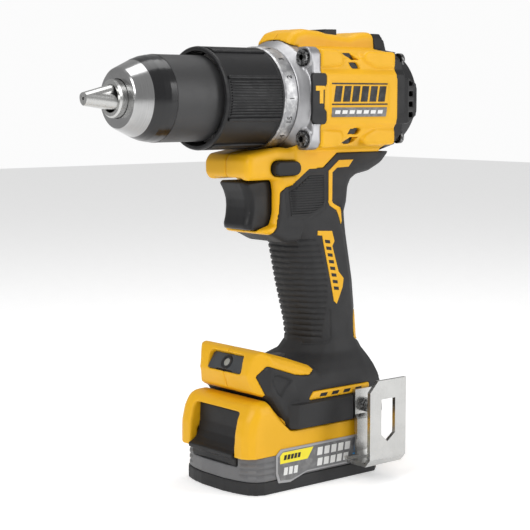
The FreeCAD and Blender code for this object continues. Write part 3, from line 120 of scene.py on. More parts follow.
def build_handling_wear():
    """Rubbed edges and faint scuffs: a mask of edges broken up by noise, and streaks."""
    group, start, end = new_group("handling_wear", [("Sharpness", 0.53), ("Scale", 260.0)],
                                  [("NodeSocketFloat", "Edges"), ("NodeSocketFloat", "Scuffs")])
    place = group.nodes.new("ShaderNodeTexCoord")
    shape = group.nodes.new("ShaderNodeNewGeometry")
    broken = add(group, "ShaderNodeTexNoise", sockets={"Detail": 5.0, "Roughness": 0.65})
    group.links.new(place.outputs["Object"], broken.inputs["Vector"])
    group.links.new(start.outputs["Scale"], broken.inputs["Scale"])
    lifted = math_node(group, "SUBTRACT", shape.outputs["Pointiness"], start.outputs["Sharpness"])
    edge = math_node(group, "MULTIPLY", ramp(group, lifted, 0.0, 0.06),
                     ramp(group, broken.outputs["Fac"], 0.42, 0.62))
    turn = add(group, "ShaderNodeMapping", sockets={"Scale": (40.0, 420.0, 130.0),
                                                    "Rotation": (0.3, 0.5, 0.2)})
    scratch = add(group, "ShaderNodeTexNoise", sockets={"Scale": 1.0, "Detail": 6.0, "Roughness": 0.7})
    group.links.new(place.outputs["Object"], turn.inputs["Vector"])
    group.links.new(turn.outputs["Vector"], scratch.inputs["Vector"])
    group.links.new(edge, end.inputs["Edges"])
    group.links.new(ramp(group, scratch.outputs["Fac"], 0.52, 0.72), end.inputs["Scuffs"])
    return group


def build_turning_marks():
    """Fine rings left by turning round the spindle axis, for chuck parts."""
    group, start, end = new_group("turning_marks", [("Pitch", 5200.0)],
                                  [("NodeSocketFloat", "Height"), ("NodeSocketFloat", "Streaks")])
    place = group.nodes.new("ShaderNodeTexCoord")
    parts = group.nodes.new("ShaderNodeSeparateXYZ")
    group.links.new(place.outputs["Object"], parts.inputs["Vector"])
    along = math_node(group, "MULTIPLY", parts.outputs["X"], start.outputs["Pitch"])
    rings = add(group, "ShaderNodeTexNoise", noise_dimensions="1D", sockets={"Scale": 1.0, "Detail": 3.0})
    group.links.new(along, rings.inputs["W"])
    around = add(group, "ShaderNodeTexNoise", sockets={"Scale": 90.0, "Detail": 3.0})
    group.links.new(place.outputs["Object"], around.inputs["Vector"])
    group.links.new(rings.outputs["Fac"], end.inputs["Height"])
    streaks = math_node(group, "MULTIPLY", ramp(group, rings.outputs["Fac"], 0.35, 0.7),
                        ramp(group, around.outputs["Fac"], 0.3, 0.65))
    group.links.new(streaks, end.inputs["Streaks"])
    return group


MOULDED_GRAIN = build_moulded_grain()
HANDLING_WEAR = build_handling_wear()
TURNING_MARKS = build_turning_marks()


# ---------------------------------------------------------------- materials
def new_material(name, color, roughness, metallic=0.0, **sockets):
    """A material whose Principled shader has its plain values set on its own sockets."""
    material = bpy.data.materials.new(name)
    material.use_nodes = True
    shader = material.node_tree.nodes["Principled BSDF"]
    shader.inputs["Base Color"].default_value = (*color, 1.0)
    shader.inputs["Roughness"].default_value = roughness
    shader.inputs["Metallic"].default_value = metallic
    for key, value in sockets.items():
        shader.inputs[key.replace("_", " ")].default_value = value
    return material, material.node_tree, shader


def use_group(tree, group, **values):
    """A shader group placed in a material, with plain values on its inputs."""
    node = tree.nodes.new("ShaderNodeGroup")
    node.node_tree = group
    for key, value in values.items():
        node.inputs[key.replace("_", " ")].default_value = value
    return node


def mix_color(tree, factor, first, second):
    """Colours mixed by a mask; each is a tuple or a socket. Returns the result socket."""
    node = add(tree, "ShaderNodeMix", data_type="RGBA")
    if isinstance(factor, (int, float)):
        node.inputs[0].default_value = factor
    else:
        tree.links.new(factor, node.inputs[0])
    for place, value in ((6, first), (7, second)):
        if isinstance(value, tuple):
            node.inputs[place].default_value = (*value, 1.0)
        else:
            tree.links.new(value, node.inputs[place])
    return node.outputs[2]


def bump(tree, shader, height, distance, strength=0.5):
    """Surface relief; distance in metres."""
    node = add(tree, "ShaderNodeBump", sockets={"Strength": strength, "Distance": distance})
    tree.links.new(height, node.inputs["Height"])
    tree.links.new(node.outputs["Normal"], shader.inputs["Normal"])


def moulded(name, color, worn, roughness, rough_range, grain_scale, grain_depth, strength=0.4, **sockets):
    """Moulded plastic or rubber: grain in the bump, patchy roughness, pale worn edges, scuffs."""
    material, tree, shader = new_material(name, color, roughness, **sockets)
    grain = use_group(tree, MOULDED_GRAIN, Scale=grain_scale)
    wear = use_group(tree, HANDLING_WEAR)
    shade = tuple(0.88 * value for value in color)
    patchy = mix_color(tree, math_node(tree, "MULTIPLY", grain.outputs["Patches"], 0.35), color, shade)
    rubbed = math_node(tree, "MULTIPLY", wear.outputs["Edges"], 0.55)
    tree.links.new(mix_color(tree, rubbed, patchy, worn), shader.inputs["Base Color"])
    rough = math_node(tree, "MULTIPLY_ADD", grain.outputs["Patches"], rough_range, roughness)
    rough = math_node(tree, "MULTIPLY_ADD", wear.outputs["Scuffs"], 0.6 * rough_range, rough)
    tree.links.new(rough, shader.inputs["Roughness"])
    bump(tree, shader, grain.outputs["Height"], grain_depth, strength)
    return material


def machined(name, color, dull, roughness, rough_range, depth=0.00002):
    """Metal with turning rings, dull patches and scuffs."""
    material, tree, shader = new_material(name, color, roughness, 1.0)
    marks = use_group(tree, TURNING_MARKS)
    wear = use_group(tree, HANDLING_WEAR, Scale=420.0)
    tint = mix_color(tree, math_node(tree, "MULTIPLY", marks.outputs["Streaks"], 0.5), color, dull)
    tree.links.new(tint, shader.inputs["Base Color"])
    rough = math_node(tree, "MULTIPLY_ADD", marks.outputs["Streaks"], rough_range, roughness)
    rough = math_node(tree, "MULTIPLY_ADD", wear.outputs["Scuffs"], 0.5 * rough_range, rough)
    tree.links.new(rough, shader.inputs["Roughness"])
    bump(tree, shader, marks.outputs["Height"], depth, 0.35)
    return material


YELLOW = (0.77, 0.405, 0.006)
BLACK = (0.022, 0.022, 0.023)
CONE_END = -0.0940          # along the spindle, in metres: steel cone to polished band
BAND_END = -0.0824          # polished band to dull grip

FINISHES = {
    "yellow_plastic": moulded("yellow_plastic", YELLOW, (0.84, 0.49, 0.03), 0.40, 0.10, 1500.0,
                              0.00003, 0.25, Specular_IOR_Level=0.34),
    "soft_grip": moulded("soft_grip", (0.021, 0.021, 0.022), (0.05, 0.05, 0.05), 0.58, 0.10, 2200.0,
                         0.00006, 0.5, Specular_IOR_Level=0.36),
    "black_plastic": moulded("black_plastic", (0.010, 0.010, 0.011), (0.05, 0.05, 0.05), 0.40, 0.12,
                             1700.0, 0.00004, 0.35, Specular_IOR_Level=0.32),
    "grey_plastic": moulded("grey_plastic", (0.13, 0.13, 0.134), (0.26, 0.26, 0.26), 0.45, 0.12,
                            1700.0, 0.00004, 0.35),
    "board": moulded("board", (0.01, 0.09, 0.035), (0.03, 0.2, 0.08), 0.35, 0.1, 600.0, 0.00002),
    "bright_steel": machined("bright_steel", (0.52, 0.52, 0.51), (0.36, 0.36, 0.35), 0.22, 0.14),
    "gear_steel": machined("gear_steel", (0.42, 0.41, 0.40), (0.28, 0.27, 0.26), 0.32, 0.14),
    "copper": machined("copper", (0.80, 0.38, 0.17), (0.5, 0.2, 0.08), 0.3, 0.12),
}


def make_cast_metal():
    """Tumbled cast light alloy: fine pebbled skin, bright rubbed edges."""
    color = (0.40, 0.40, 0.41)
    material, tree, shader = new_material("cast_metal", color, 0.44, 1.0)
    grain = use_group(tree, MOULDED_GRAIN, Scale=1300.0)
    wear = use_group(tree, HANDLING_WEAR)
    dull = mix_color(tree, grain.outputs["Patches"], color, (0.30, 0.30, 0.31))
    tree.links.new(mix_color(tree, wear.outputs["Edges"], dull, (0.62, 0.62, 0.62)),
                   shader.inputs["Base Color"])
    rough = math_node(tree, "MULTIPLY_ADD", grain.outputs["Patches"], 0.12, 0.42)
    tree.links.new(rough, shader.inputs["Roughness"])
    bump(tree, shader, grain.outputs["Height"], 0.00007, 0.5)
    return material


def make_black_screw():
    """Blackened screw with bare steel showing at the worn edges of its socket."""
    material, tree, shader = new_material("black_screw", (0.03, 0.03, 0.03), 0.34, 0.8)
    grain = use_group(tree, MOULDED_GRAIN, Scale=1100.0)
    wear = use_group(tree, HANDLING_WEAR, Scale=900.0)
    tree.links.new(mix_color(tree, wear.outputs["Edges"], (0.03, 0.03, 0.03), (0.3, 0.3, 0.3)),
                   shader.inputs["Base Color"])
    tree.links.new(math_node(tree, "MULTIPLY_ADD", grain.outputs["Patches"], 0.15, 0.3),
                   shader.inputs["Roughness"])
    bump(tree, shader, grain.outputs["Height"], 0.00003, 0.3)
    return material


def make_chuck_sleeve():
    """The sleeve's finishes along its length: ground cone, polished black band, dull black grip."""
    material, tree, shader = new_material("chuck_black", BLACK, 0.4)
    place = tree.nodes.new("ShaderNodeTexCoord")
    parts = tree.nodes.new("ShaderNodeSeparateXYZ")
    tree.links.new(place.outputs["Object"], parts.inputs["Vector"])
    along = parts.outputs["X"]
    marks = use_group(tree, TURNING_MARKS, Pitch=4200.0)
    grain = use_group(tree, MOULDED_GRAIN, Scale=2600.0)
    steel = math_node(tree, "SUBTRACT", 1.0, ramp(tree, along, CONE_END - 0.0002, CONE_END + 0.0002))
    dull = ramp(tree, along, BAND_END - 0.0002, BAND_END + 0.0002)
    bare = mix_color(tree, marks.outputs["Streaks"], (0.44, 0.44, 0.44), (0.30, 0.30, 0.30))
    band = mix_color(tree, dull, (0.008, 0.008, 0.009), (0.030, 0.030, 0.031))
    tree.links.new(mix_color(tree, steel, band, bare), shader.inputs["Base Color"])
    tree.links.new(steel, shader.inputs["Metallic"])
    smooth = math_node(tree, "MULTIPLY_ADD", marks.outputs["Streaks"], 0.08, 0.17)
    coarse = math_node(tree, "MULTIPLY_ADD", grain.outputs["Patches"], 0.1, 0.46)
    rough = add(tree, "ShaderNodeMix", data_type="FLOAT")
    tree.links.new(dull, rough.inputs[0])
    tree.links.new(smooth, rough.inputs[2])
    tree.links.new(coarse, rough.inputs[3])
    tree.links.new(rough.outputs[0], shader.inputs["Roughness"])
    pebbles = math_node(tree, "MULTIPLY", grain.outputs["Height"], dull)
    rings = math_node(tree, "MULTIPLY", marks.outputs["Height"], math_node(tree, "SUBTRACT", 1.0, dull))
    bump(tree, shader, math_node(tree, "MULTIPLY_ADD", rings, 0.12, pebbles), 0.00007, 0.5)
    return material


def make_lens():
    """Tinted lamp window."""
    material, tree, shader = new_material("clear_lens", (0.03, 0.033, 0.036), 0.08, Coat_Weight=0.4)
    grain = use_group(tree, MOULDED_GRAIN, Scale=500.0)
    tree.links.new(math_node(tree, "MULTIPLY_ADD", grain.outputs["Patches"], 0.06, 0.06),
                   shader.inputs["Roughness"])
    tree.links.new(mix_color(tree, grain.outputs["Patches"], (0.03, 0.033, 0.036), (0.045, 0.05, 0.055)),
                   shader.inputs["Base Color"])
    return material


FINISHES["cast_metal"] = make_cast_metal()
FINISHES["black_screw"] = make_black_screw()
FINISHES["chuck_black"] = make_chuck_sleeve()
FINISHES["clear_lens"] = make_lens()


def paint(obj, material):
    """One finish over the whole object."""
    obj.data.materials.clear()
    obj.data.materials.append(material)


for part in frame["record"]["subparts"]:
    paint(nodes[part["node"]], FINISHES[part["material_slot"]])

PRINTS = (("lamp_diode", (0.30, 0.30, 0.27)), ("white_print", (0.75, 0.75, 0.74)),
          ("silver_print", (0.34, 0.34, 0.35)), ("tag_print", (0.85, 0.72, 0.02)),
          ("blue_print", (0.03, 0.33, 0.72)))
for name, color in PRINTS:
    FINISHES[name] = moulded(name, color, color, 0.4, 0.08, 1500.0, 0.00002, 0.2)


# ---------------------------------------------------------------- modelling
def pick(obj):
    """Only this object selected and active."""
    bpy.ops.object.select_all(action="DESELECT")
    obj.select_set(True)
    bpy.context.view_layer.objects.active = obj


def finish_modifier(obj, kind, **settings):
    """A modifier added with its settings and applied."""
    pick(obj)
    modifier = obj.modifiers.new(kind.lower(), kind)
    for key, value in settings.items():
        setattr(modifier, key, value)
    bpy.ops.object.modifier_apply(modifier=modifier.name)


def whole_mesh_edit(obj, *steps):
    """Edit-mode operators run on everything in the mesh."""
    pick(obj)
    bpy.ops.object.mode_set(mode="EDIT")
    bpy.ops.mesh.select_all(action="SELECT")
    for operator, settings in steps:
        operator(**settings)
    bpy.ops.object.mode_set(mode="OBJECT")


def outward(obj):
    """Merged points, and normals that face out."""
    whole_mesh_edit(obj, (bpy.ops.mesh.remove_doubles, {"threshold": 0.000002}),
                    (bpy.ops.mesh.normals_make_consistent, {"inside": False}))


def cad_copy(name, node):
    """A copy of a CAD node's mesh with its loose triangles merged."""
    obj = bpy.data.objects.new(name, nodes[node].data.copy())
    bpy.context.collection.objects.link(obj)
    obj.data.materials.clear()
    whole_mesh_edit(obj, (bpy.ops.mesh.remove_doubles, {"threshold": 0.000002}))
    return obj


def outline_solid(name, outline, low, high, axis="y", edge=0.0, segments=2):
    """A closed solid from an outline in mm, pulled along an axis and bevelled all round.

    Outlines are (x, z) for axis y, (y, z) for axis x and (x, y) for axis z.
    """
    bpy.ops.object.select_all(action="DESELECT")
    bpy.ops.mesh.primitive_circle_add(vertices=len(outline), fill_type="NGON")
    obj = bpy.context.object
    obj.name = name
    lift = {"y": lambda p: (p[0], low, p[1]), "x": lambda p: (low, p[0], p[1]),
            "z": lambda p: (p[0], p[1], low)}[axis]
    for vertex, point in zip(obj.data.vertices, outline):
        vertex.co = Vector(lift(point)) * MM
    along = [0.0, 0.0, 0.0]
    along["xyz".index(axis)] = (high - low) * MM
    steps = [(bpy.ops.mesh.extrude_region_move, {"TRANSFORM_OT_translate": {"value": along}}),
             (bpy.ops.mesh.select_all, {"action": "SELECT"}),
             (bpy.ops.mesh.normals_make_consistent, {"inside": False})]
    if edge:
        steps.append((bpy.ops.mesh.bevel, {"offset": edge * MM, "segments": segments,
                                           "affect": "EDGES", "clamp_overlap": True}))
    whole_mesh_edit(obj, *steps)
    return obj


def mirrored_copy(obj, name):
    """The same piece on the right side of the drill."""
    twin = duplicate(obj)
    twin.name = name
    twin.scale = (1.0, -1.0, 1.0)
    pick(twin)
    bpy.ops.object.transform_apply(location=False, rotation=False, scale=True)
    whole_mesh_edit(twin, (bpy.ops.mesh.normals_make_consistent, {"inside": False}))
    return twin


def join(obj, others):
    """One object of several; it keeps the first one's name."""
    pick(obj)
    for other in others:
        other.select_set(True)
    bpy.ops.object.join()
    return obj


def soften(obj, voxel=0.6, smoothing=4, limit=150000, rounded=()):
    """One moulded skin over everything in the object: sharp corners become small radii.

    Each zone in rounded is (low corner, high corner, passes) in mm, and is rounded further.
    """
    finish_modifier(obj, "REMESH", mode="VOXEL", voxel_size=voxel * MM, use_smooth_shade=True)
    finish_modifier(obj, "SMOOTH", factor=0.5, iterations=smoothing)
    for low, high, passes in rounded:
        zone = obj.vertex_groups.new(name="rounded")
        for vertex in obj.data.vertices:
            room = min(min(value / MM - a, b - value / MM) for value, a, b in zip(vertex.co, low, high))
            if room > 0.0:
                zone.add([vertex.index], min(1.0, room / 3.0), "REPLACE")
        finish_modifier(obj, "SMOOTH", factor=0.5, iterations=passes, vertex_group="rounded")
        obj.vertex_groups.clear()
    triangles = 2 * len(obj.data.polygons)
    if triangles > limit:
        finish_modifier(obj, "DECIMATE", ratio=limit / triangles)
    pick(obj)
    bpy.ops.object.shade_smooth()
    return obj


def press_in(obj, weight, depth):
    """Presses the surface in by depth mm where weight(point in mm, normal) says so, from 0 to 1."""
    group = obj.vertex_groups.new(name="pressed")
    for vertex in obj.data.vertices:
        value = weight(vertex.co / MM, vertex.normal)
        if value > 0.0:
            group.add([vertex.index], min(value, 1.0), "REPLACE")
    finish_modifier(obj, "DISPLACE", direction="NORMAL", strength=-depth * MM, mid_level=0.0,
                    vertex_group="pressed")
    obj.vertex_groups.clear()


def boolean(obj, other, operation):
    """Joins, cuts or keeps the overlap with another closed solid, which is used up."""
    finish_modifier(obj, "BOOLEAN", object=other, operation=operation, solver="MANIFOLD")
    bpy.data.objects.remove(other, do_unlink=True)


def duplicate(obj):
    """A second object with its own copy of the mesh."""
    twin = obj.copy()
    twin.data = obj.data.copy()
    bpy.context.collection.objects.link(twin)
    return twin


def raised_skin(base, lift):
    """A copy of a closed surface, grown outward by lift mm."""
    skin = duplicate(base)
    finish_modifier(skin, "DISPLACE", direction="NORMAL", strength=lift * MM, mid_level=0.0)
    return skin


def thin_out(obj, limit):
    """Fewer triangles where the surface is smooth, down to a limit."""
    triangles = sum(len(face.vertices) - 2 for face in obj.data.polygons)
    if triangles > limit:
        finish_modifier(obj, "DECIMATE", ratio=limit / triangles)


def turn(obj, degrees, axis, center):
    """Turns the mesh itself about a point in mm."""
    whole_mesh_edit(obj, (bpy.ops.transform.rotate, {
        "value": math.radians(degrees), "orient_axis": axis, "orient_type": "GLOBAL",
        "center_override": tuple(value * MM for value in center)}))


def shift(obj, step):
    """Moves the mesh itself by a step in mm."""
    whole_mesh_edit(obj, (bpy.ops.transform.translate, {"value": tuple(value * MM for value in step)}))


def shade(obj, degrees):
    """Smooth shading, with edges sharper than an angle left crisp."""
    pick(obj)
    bpy.ops.object.shade_smooth_by_angle(angle=math.radians(degrees))


def inlay(name, outline, base, lift, low, high):
    """A thin piece let into a curved surface, proud of it by lift mm, inside an outline."""
    skin = raised_skin(base, lift)
    piece = outline_solid(name, outline, low, high)
    boolean(piece, skin, "INTERSECT")
    shade(piece, 40)
    return piece


def inside(outline, x, z):
    """Whether a point lies inside an outline."""
    hit = False
    for (x0, z0), (x1, z1) in zip(outline, outline[1:] + outline[:1]):
        if (z0 > z) != (z1 > z) and x < x0 + (z - z0) * (x1 - x0) / (z1 - z0):
            hit = not hit
    return hit


def line_distance(points, x, z):
    """Distance from a point to the nearest stretch of a line through points."""
    best = math.inf
    for (x0, z0), (x1, z1) in zip(points, points[1:]):
        dx, dz = x1 - x0, z1 - z0
        t = max(0.0, min(1.0, ((x - x0) * dx + (z - z0) * dz) / (dx * dx + dz * dz)))
        best = min(best, math.hypot(x - x0 - t * dx, z - z0 - t * dz))
    return best


def edge_distance(outline, x, z):
    """Distance from a point to the nearest side of a closed outline."""
    return line_distance(outline + outline[:1], x, z)


def between(value, points):
    """Straight-line reading of a table of (z, x) pairs, highest z first."""
    if value >= points[0][0]:
        return points[0][1]
    for (z0, x0), (z1, x1) in zip(points, points[1:]):
        if value >= z1:
            return x1 + (value - z1) * (x0 - x1) / (z0 - z1)
    return points[-1][1]


def settle(obj, body, material, *replaced, slot=None):
    """The finished piece: its material, its body, the CAD nodes it stands for; slot is not used."""
    paint(obj, material)
    obj.location = (0.0, 0.0, 0.0)
    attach(obj, body)
    if replaced:
        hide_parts(*replaced)
    return obj


def settle_both(left, right_name, body, material, slot=None):
    """A left piece and its mirrored twin on the right, both finished."""
    for piece in (left, mirrored_copy(left, right_name)):
        settle(piece, body, material, slot=slot)


# ---------------------------------------------------------------- motor housing
FRONT_BOSS = [(-1.8, 218.3), (9.0, 218.2), (13.3, 215.8), (13.7, 213.3), (12.2, 210.1), (-1.8, 209.1)]
REAR_BOSS = [(26.3, 215.2), (30.3, 218.0), (49.8, 217.6), (49.8, 209.4), (36.1, 208.9), (28.2, 212.3)]

# Zones of the shells that are moulded with large radii: nose over the trigger, lamp block, top ridge.
SHELL_ROUNDS = (((-60, -40, 148), (-14, 40, 175), 22), ((-60, -40, 40), (-26, 40, 80), 14),
                ((-20, -20, 219.5), (17, 20, 240), 16), ((34, -20, 221), (60, 20, 240), 12),
                ((-60, -40, 118), (-10, 40, 150), 10))

PAD_FACE = 31.95            # outer face of the label pad on each side

# The slanted vents of one side: outline, and how far out the black sheet of painted shade behind it stands.
VENTS = (([(16.1, 216.4), (21.4, 216.4), (24.6, 213.3), (19.3, 213.3)], 25.0),
         ([(17.2, 211.9), (22.6, 211.9), (25.2, 209.0), (19.8, 209.0)], 27.7),
         ([(18.6, 178.9), (24.4, 178.9), (22.4, 176.2), (16.8, 176.2)], 27.7),
         ([(18.6, 174.7), (24.6, 174.7), (21.8, 171.7), (15.8, 171.7)], 24.4))


def rectangle(x0, x1, z0, z1):
    """A rectangle's outline."""
    return [(x0, z0), (x1, z0), (x1, z1), (x0, z1)]


def slanted(x0, x1, z0, z1, lean):
    """A rectangle whose top leans back by lean mm."""
    return [(x0, z0), (x1, z0), (x1 + lean, z1), (x0 + lean, z1)]


def flipped(outline):
    """The outline turned over about the spindle's height."""
    return [(x, 2 * SPINDLE_Z - z) for x, z in outline][::-1]


def make_housing_shells():
    """Left and right shells, each with its screw bosses blended into one moulding."""
    for side, sign in (("left", -1), ("right", 1)):
        shell = cad_copy("housing_shell_" + side, "housing_" + side)
        bosses = []
        for outline in (FRONT_BOSS, REAR_BOSS):
            for shape in (outline, flipped(outline)):
                low, high = sorted((sign * 20.0, sign * 30.4))
                bosses.append(outline_solid("boss", shape, low, high, "y", 1.6, 3))
        low, high = sorted((sign * 26.0, sign * 31.9))
        bosses.append(outline_solid("pad", rectangle(2.6, 43.4, 186.0, 202.4), low, high, "y", 0.9, 3))
        join(shell, bosses)
        soften(shell, 0.6, 4, 400000, SHELL_ROUNDS)
        for outline, depth in VENTS:
            low, high = sorted((sign * (depth - 0.4), sign * OUTSIDE_Y))
            boolean(shell, outline_solid("vent_cutter", outline, low, high), "DIFFERENCE")
        thin_out(shell, 180000)
        low, high = sorted((sign * 18.0, sign * OUTSIDE_Y))
        slots = [inlay("slot", slanted(x, x + 4.4, 44.6, 46.2, 1.4), shell, 0.12, low, high)
                 for x in (-1.0, 7.0, 15.0, 23.0)]
        settle(join(slots[0], slots[1:]), "root", FINISHES["black_plastic"]).name = "strip_slots_" + side
        settle(shell, "root", FINISHES["yellow_plastic"], "housing_" + side, slot="yellow_plastic")


def make_vent_painted_shade():
    """Black sheets behind the vents: painted shade standing in for the dark openings."""
    painted_shade_sheets = []
    for outline, depth in VENTS:
        middle_x = sum(x for x, z in outline) / 4
        middle_z = sum(z for x, z in outline) / 4
        wider = [(middle_x + 1.12 * (x - middle_x), middle_z + 1.2 * (z - middle_z)) for x, z in outline]
        # each black sheet floors its vent: painted shade of the deep opening
        painted_shade_sheets.append(outline_solid("vent_painted_shade", wider, -depth, -depth + 1.6, "y", 0.1, 1))
    left = join(painted_shade_sheets[0], painted_shade_sheets[1:])
    left.name = "vent_painted_shade_left"
    settle_both(left, "vent_painted_shade_right", "root", FINISHES["black_plastic"])


def make_gear_case():
    """The cast case with its lugs, edges tumbled."""
    case = soften(cad_copy("cast_gear_case", "gear_case"), 0.5, 3, 150000)
    settle(case, "root", FINISHES["cast_metal"], "gear_case", slot="cast_metal")


def make_rear_cap():
    """The vented cap behind the motor."""
    cap = soften(cad_copy("vented_rear_cap", "rear_cap"), 0.5, 3, 120000)
    settle(cap, "root", FINISHES["black_plastic"], "rear_cap", slot="black_plastic")


def make_badges():
    """Black side badges; each carries a small yellow hammer."""
    plates = soften(cad_copy("side_badge_plates", "side_badges"), 0.35, 2, 60000)
    settle(plates, "root", FINISHES["black_plastic"], "side_badges", slot="black_plastic")
    hammer = [(-6.9, 197.8), (-6.9, 200.2), (-1.2, 200.2), (0.1, 198.6), (-1.9, 198.2), (-1.9, 191.6),
              (-4.3, 191.6), (-4.3, 197.8)]
    face = abs(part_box("side_badges")[0][1]) / MM
    left = outline_solid("hammer_mark_left", hammer, -face - 0.15, -face + 0.5, "y", 0.1, 1)
    settle_both(left, "hammer_mark_right", "root", FINISHES["yellow_plastic"], slot="yellow_plastic")


def make_side_labels():
    """Generic graphics on the side pads: slanted bars between two rules, and a dark strip below."""
    low, high = -PAD_FACE - 0.12, -PAD_FACE + 0.3
    bars = [outline_solid("rule", rectangle(3.6, 42.0, z, z + 0.7), low, high) for z in (201.0, 190.8)]
    for count in range(6):
        x = 4.8 + 6.1 * count
        bars.append(outline_solid("bar", slanted(x, x + 4.7, 192.4, 200.2, 1.3), low, high, "y", 0.1, 1))
    graphic = join(bars[0], bars[1:])
    graphic.name = "side_graphic_left"
    strip = outline_solid("side_strip_left", [(3.6, 184.9), (41.0, 184.9), (41.8, 189.6), (3.6, 189.6)],
                          low, high, "y", 0.1, 1)
    dashes = []
    for count in range(7):
        x = 5.4 + 4.9 * count
        dashes.append(outline_solid("dash", slanted(x, x + 3.4, 186.4, 188.2, 0.5), low - 0.05, high))
    marks = join(dashes[0], dashes[1:])
    marks.name = "side_dashes_left"
    for piece, finish, name in ((graphic, "black_plastic", "side_graphic_right"),
                                (strip, "grey_plastic", "side_strip_right"),
                                (marks, "white_print", "side_dashes_right")):
        settle_both(piece, name, "root", FINISHES[finish])


# ---------------------------------------------------------------- torque collar and chuck
def lathe(name, profile, steps):
    """A closed profile of (x, radius) in mm spun round the spindle axis."""
    mesh = bpy.data.meshes.new(name)
    points = [(x * MM, 0.0, (SPINDLE_Z + r) * MM) for x, r in profile]
    mesh.from_pydata(points, [(i, (i + 1) % len(points)) for i in range(len(points))], [])
    obj = bpy.data.objects.new(name, mesh)
    bpy.context.collection.objects.link(obj)
    whole_mesh_edit(obj, (bpy.ops.mesh.spin, {"steps": steps, "angle": 2 * math.pi,
                                              "center": (0.0, 0.0, SPINDLE_Z * MM),
                                              "axis": (1.0, 0.0, 0.0)}))
    outward(obj)
    return obj


def turned_copies(obj, angles):
    """Copies of a bar turned to each angle round the spindle axis, joined into one object."""
    copies = []
    for angle in angles:
        twin = duplicate(obj)
        turn(twin, angle, "X", (0.0, 0.0, SPINDLE_Z))
        copies.append(twin)
    bpy.data.objects.remove(obj, do_unlink=True)
    return join(copies[0], copies[1:])


def make_torque_collar():
    """The collar: a thin tube with four fields of fine ribs, each between two raised bars."""
    collar = lathe("ribbed_torque_collar", [
        (-56.9, 23.0), (-57.0, 23.6), (-56.9, 24.4), (-56.4, 24.95), (-55.6, 25.1), (-55.2, 24.6),
        (-54.6, 24.4), (-22.6, 24.4), (-22.0, 24.9), (-21.5, 24.9), (-21.3, 24.5), (-21.3, 22.9)], 160)
    fine = outline_solid("fine_rib", rectangle(-53.6, -22.4, SPINDLE_Z - 0.36, SPINDLE_Z + 0.36),
                         -25.05, -24.0, "y", 0.22, 2)
    fields = [90.0 * field + 3.1 * count for field in range(4) for count in range(-6, 7)]
    ribs = turned_copies(fine, fields)
    bold = outline_solid("bold_bar", rectangle(-54.2, -22.0, SPINDLE_Z - 0.9, SPINDLE_Z + 0.9),
                         -25.45, -24.0, "y", 0.5, 3)
    bars = turned_copies(bold, [90.0 * field + offset for field in range(4) for offset in (-24.0, 24.0)])
    boolean(collar, ribs, "UNION")
    boolean(collar, bars, "UNION")
    shade(collar, 35)
    settle(collar, "collar", FINISHES["black_plastic"], "torque_collar", slot="black_plastic")


def make_number_ring_marks():
    """Generic numbers round the silver ring."""
    marks = []
    for count in range(15):
        bpy.ops.object.select_all(action="DESELECT")
        bpy.ops.object.text_add()
        words = bpy.context.object
        words.data.body = str(count + 1)
        words.data.size = 4.2 * MM
        words.data.extrude = 0.12 * MM
        words.data.align_x = "CENTER"
        words.data.align_y = "CENTER"
        words.rotation_euler = (math.radians(90.0), math.radians(-90.0), 0.0)
        words.location = (-17.0 * MM, -25.78 * MM, SPINDLE_Z * MM)
        pick(words)
        bpy.ops.object.convert(target="MESH")
        words = bpy.context.object
        bpy.ops.object.transform_apply(location=True, rotation=True, scale=True)
        turn(words, 24.0 * count, "X", (0.0, 0.0, SPINDLE_Z))
        marks.append(words)
    numbers = join(marks[0], marks[1:])
    numbers.name = "torque_numbers"
    settle(numbers, "collar", FINISHES["black_plastic"])


def make_chuck_details():
    """The dark slit round the sleeve where its nose and grip meet."""
    seam = lathe("sleeve_seam", [(-82.6, 20.2), (-82.6, 20.86), (-82.2, 20.86), (-82.2, 20.2)], 96)
    settle(seam, "sleeve", FINISHES["black_plastic"])


# ---------------------------------------------------------------- soft grip
GROOVE_TOP = 122.5
GROOVE_PITCH = 3.0
GROOVE_COUNT = 18
GROOVE_REAR = [(122.5, 7.5), (119.7, 9.8), (102.5, 15.0), (90.0, 15.2), (71.6, 13.4)]
HANDLE_MIDDLE = [(152.0, 9.8), (136.0, 8.8), (122.0, 15.8), (100.0, 20.2), (78.0, 24.0), (61.0, 23.4)]
RIBBED_PANEL = [(-11.0, 147.5), (0.9, 155.3), (10.9, 155.3), (11.4, 139.4), (1.8, 135.3), (-9.7, 135.6)]
PANEL_FRAME = [(-13.0, 148.4), (0.2, 157.2), (12.4, 157.2), (12.9, 138.2), (2.3, 133.4), (-11.6, 133.7)]
GROOVE_FIELD_EDGE = [(16.4, 86.0), (17.2, 84.4), (18.0, 71.0), (16.6, 68.9), (3.6, 68.0)]
FOOT_PANEL = [(-30.2, 58.6), (-31.4, 56.4), (-28.0, 49.6), (-24.8, 46.6), (-21.6, 51.6), (-17.2, 54.6),
              (-21.8, 56.6), (-27.4, 58.8)]
GROOVE_HALF_WIDTH = 0.62
GROOVE_FADE = 0.9           # length over which a groove runs out at its rear end
SINK_RAMP = 0.7             # width of the sloped edge of a sunk panel or line

# Zones of the grip rounded further: the handle, the flare over the foot, the web of the hand.
GRIP_ROUNDS = (((-30, -40, 66), (60, 40, 134), 30), ((-14, -40, 44.5), (60, 40, 72), 34),
               ((16, -40, 146), (70, 40, 164), 16), ((-30, -40, 122), (40, 40, 150), 10))


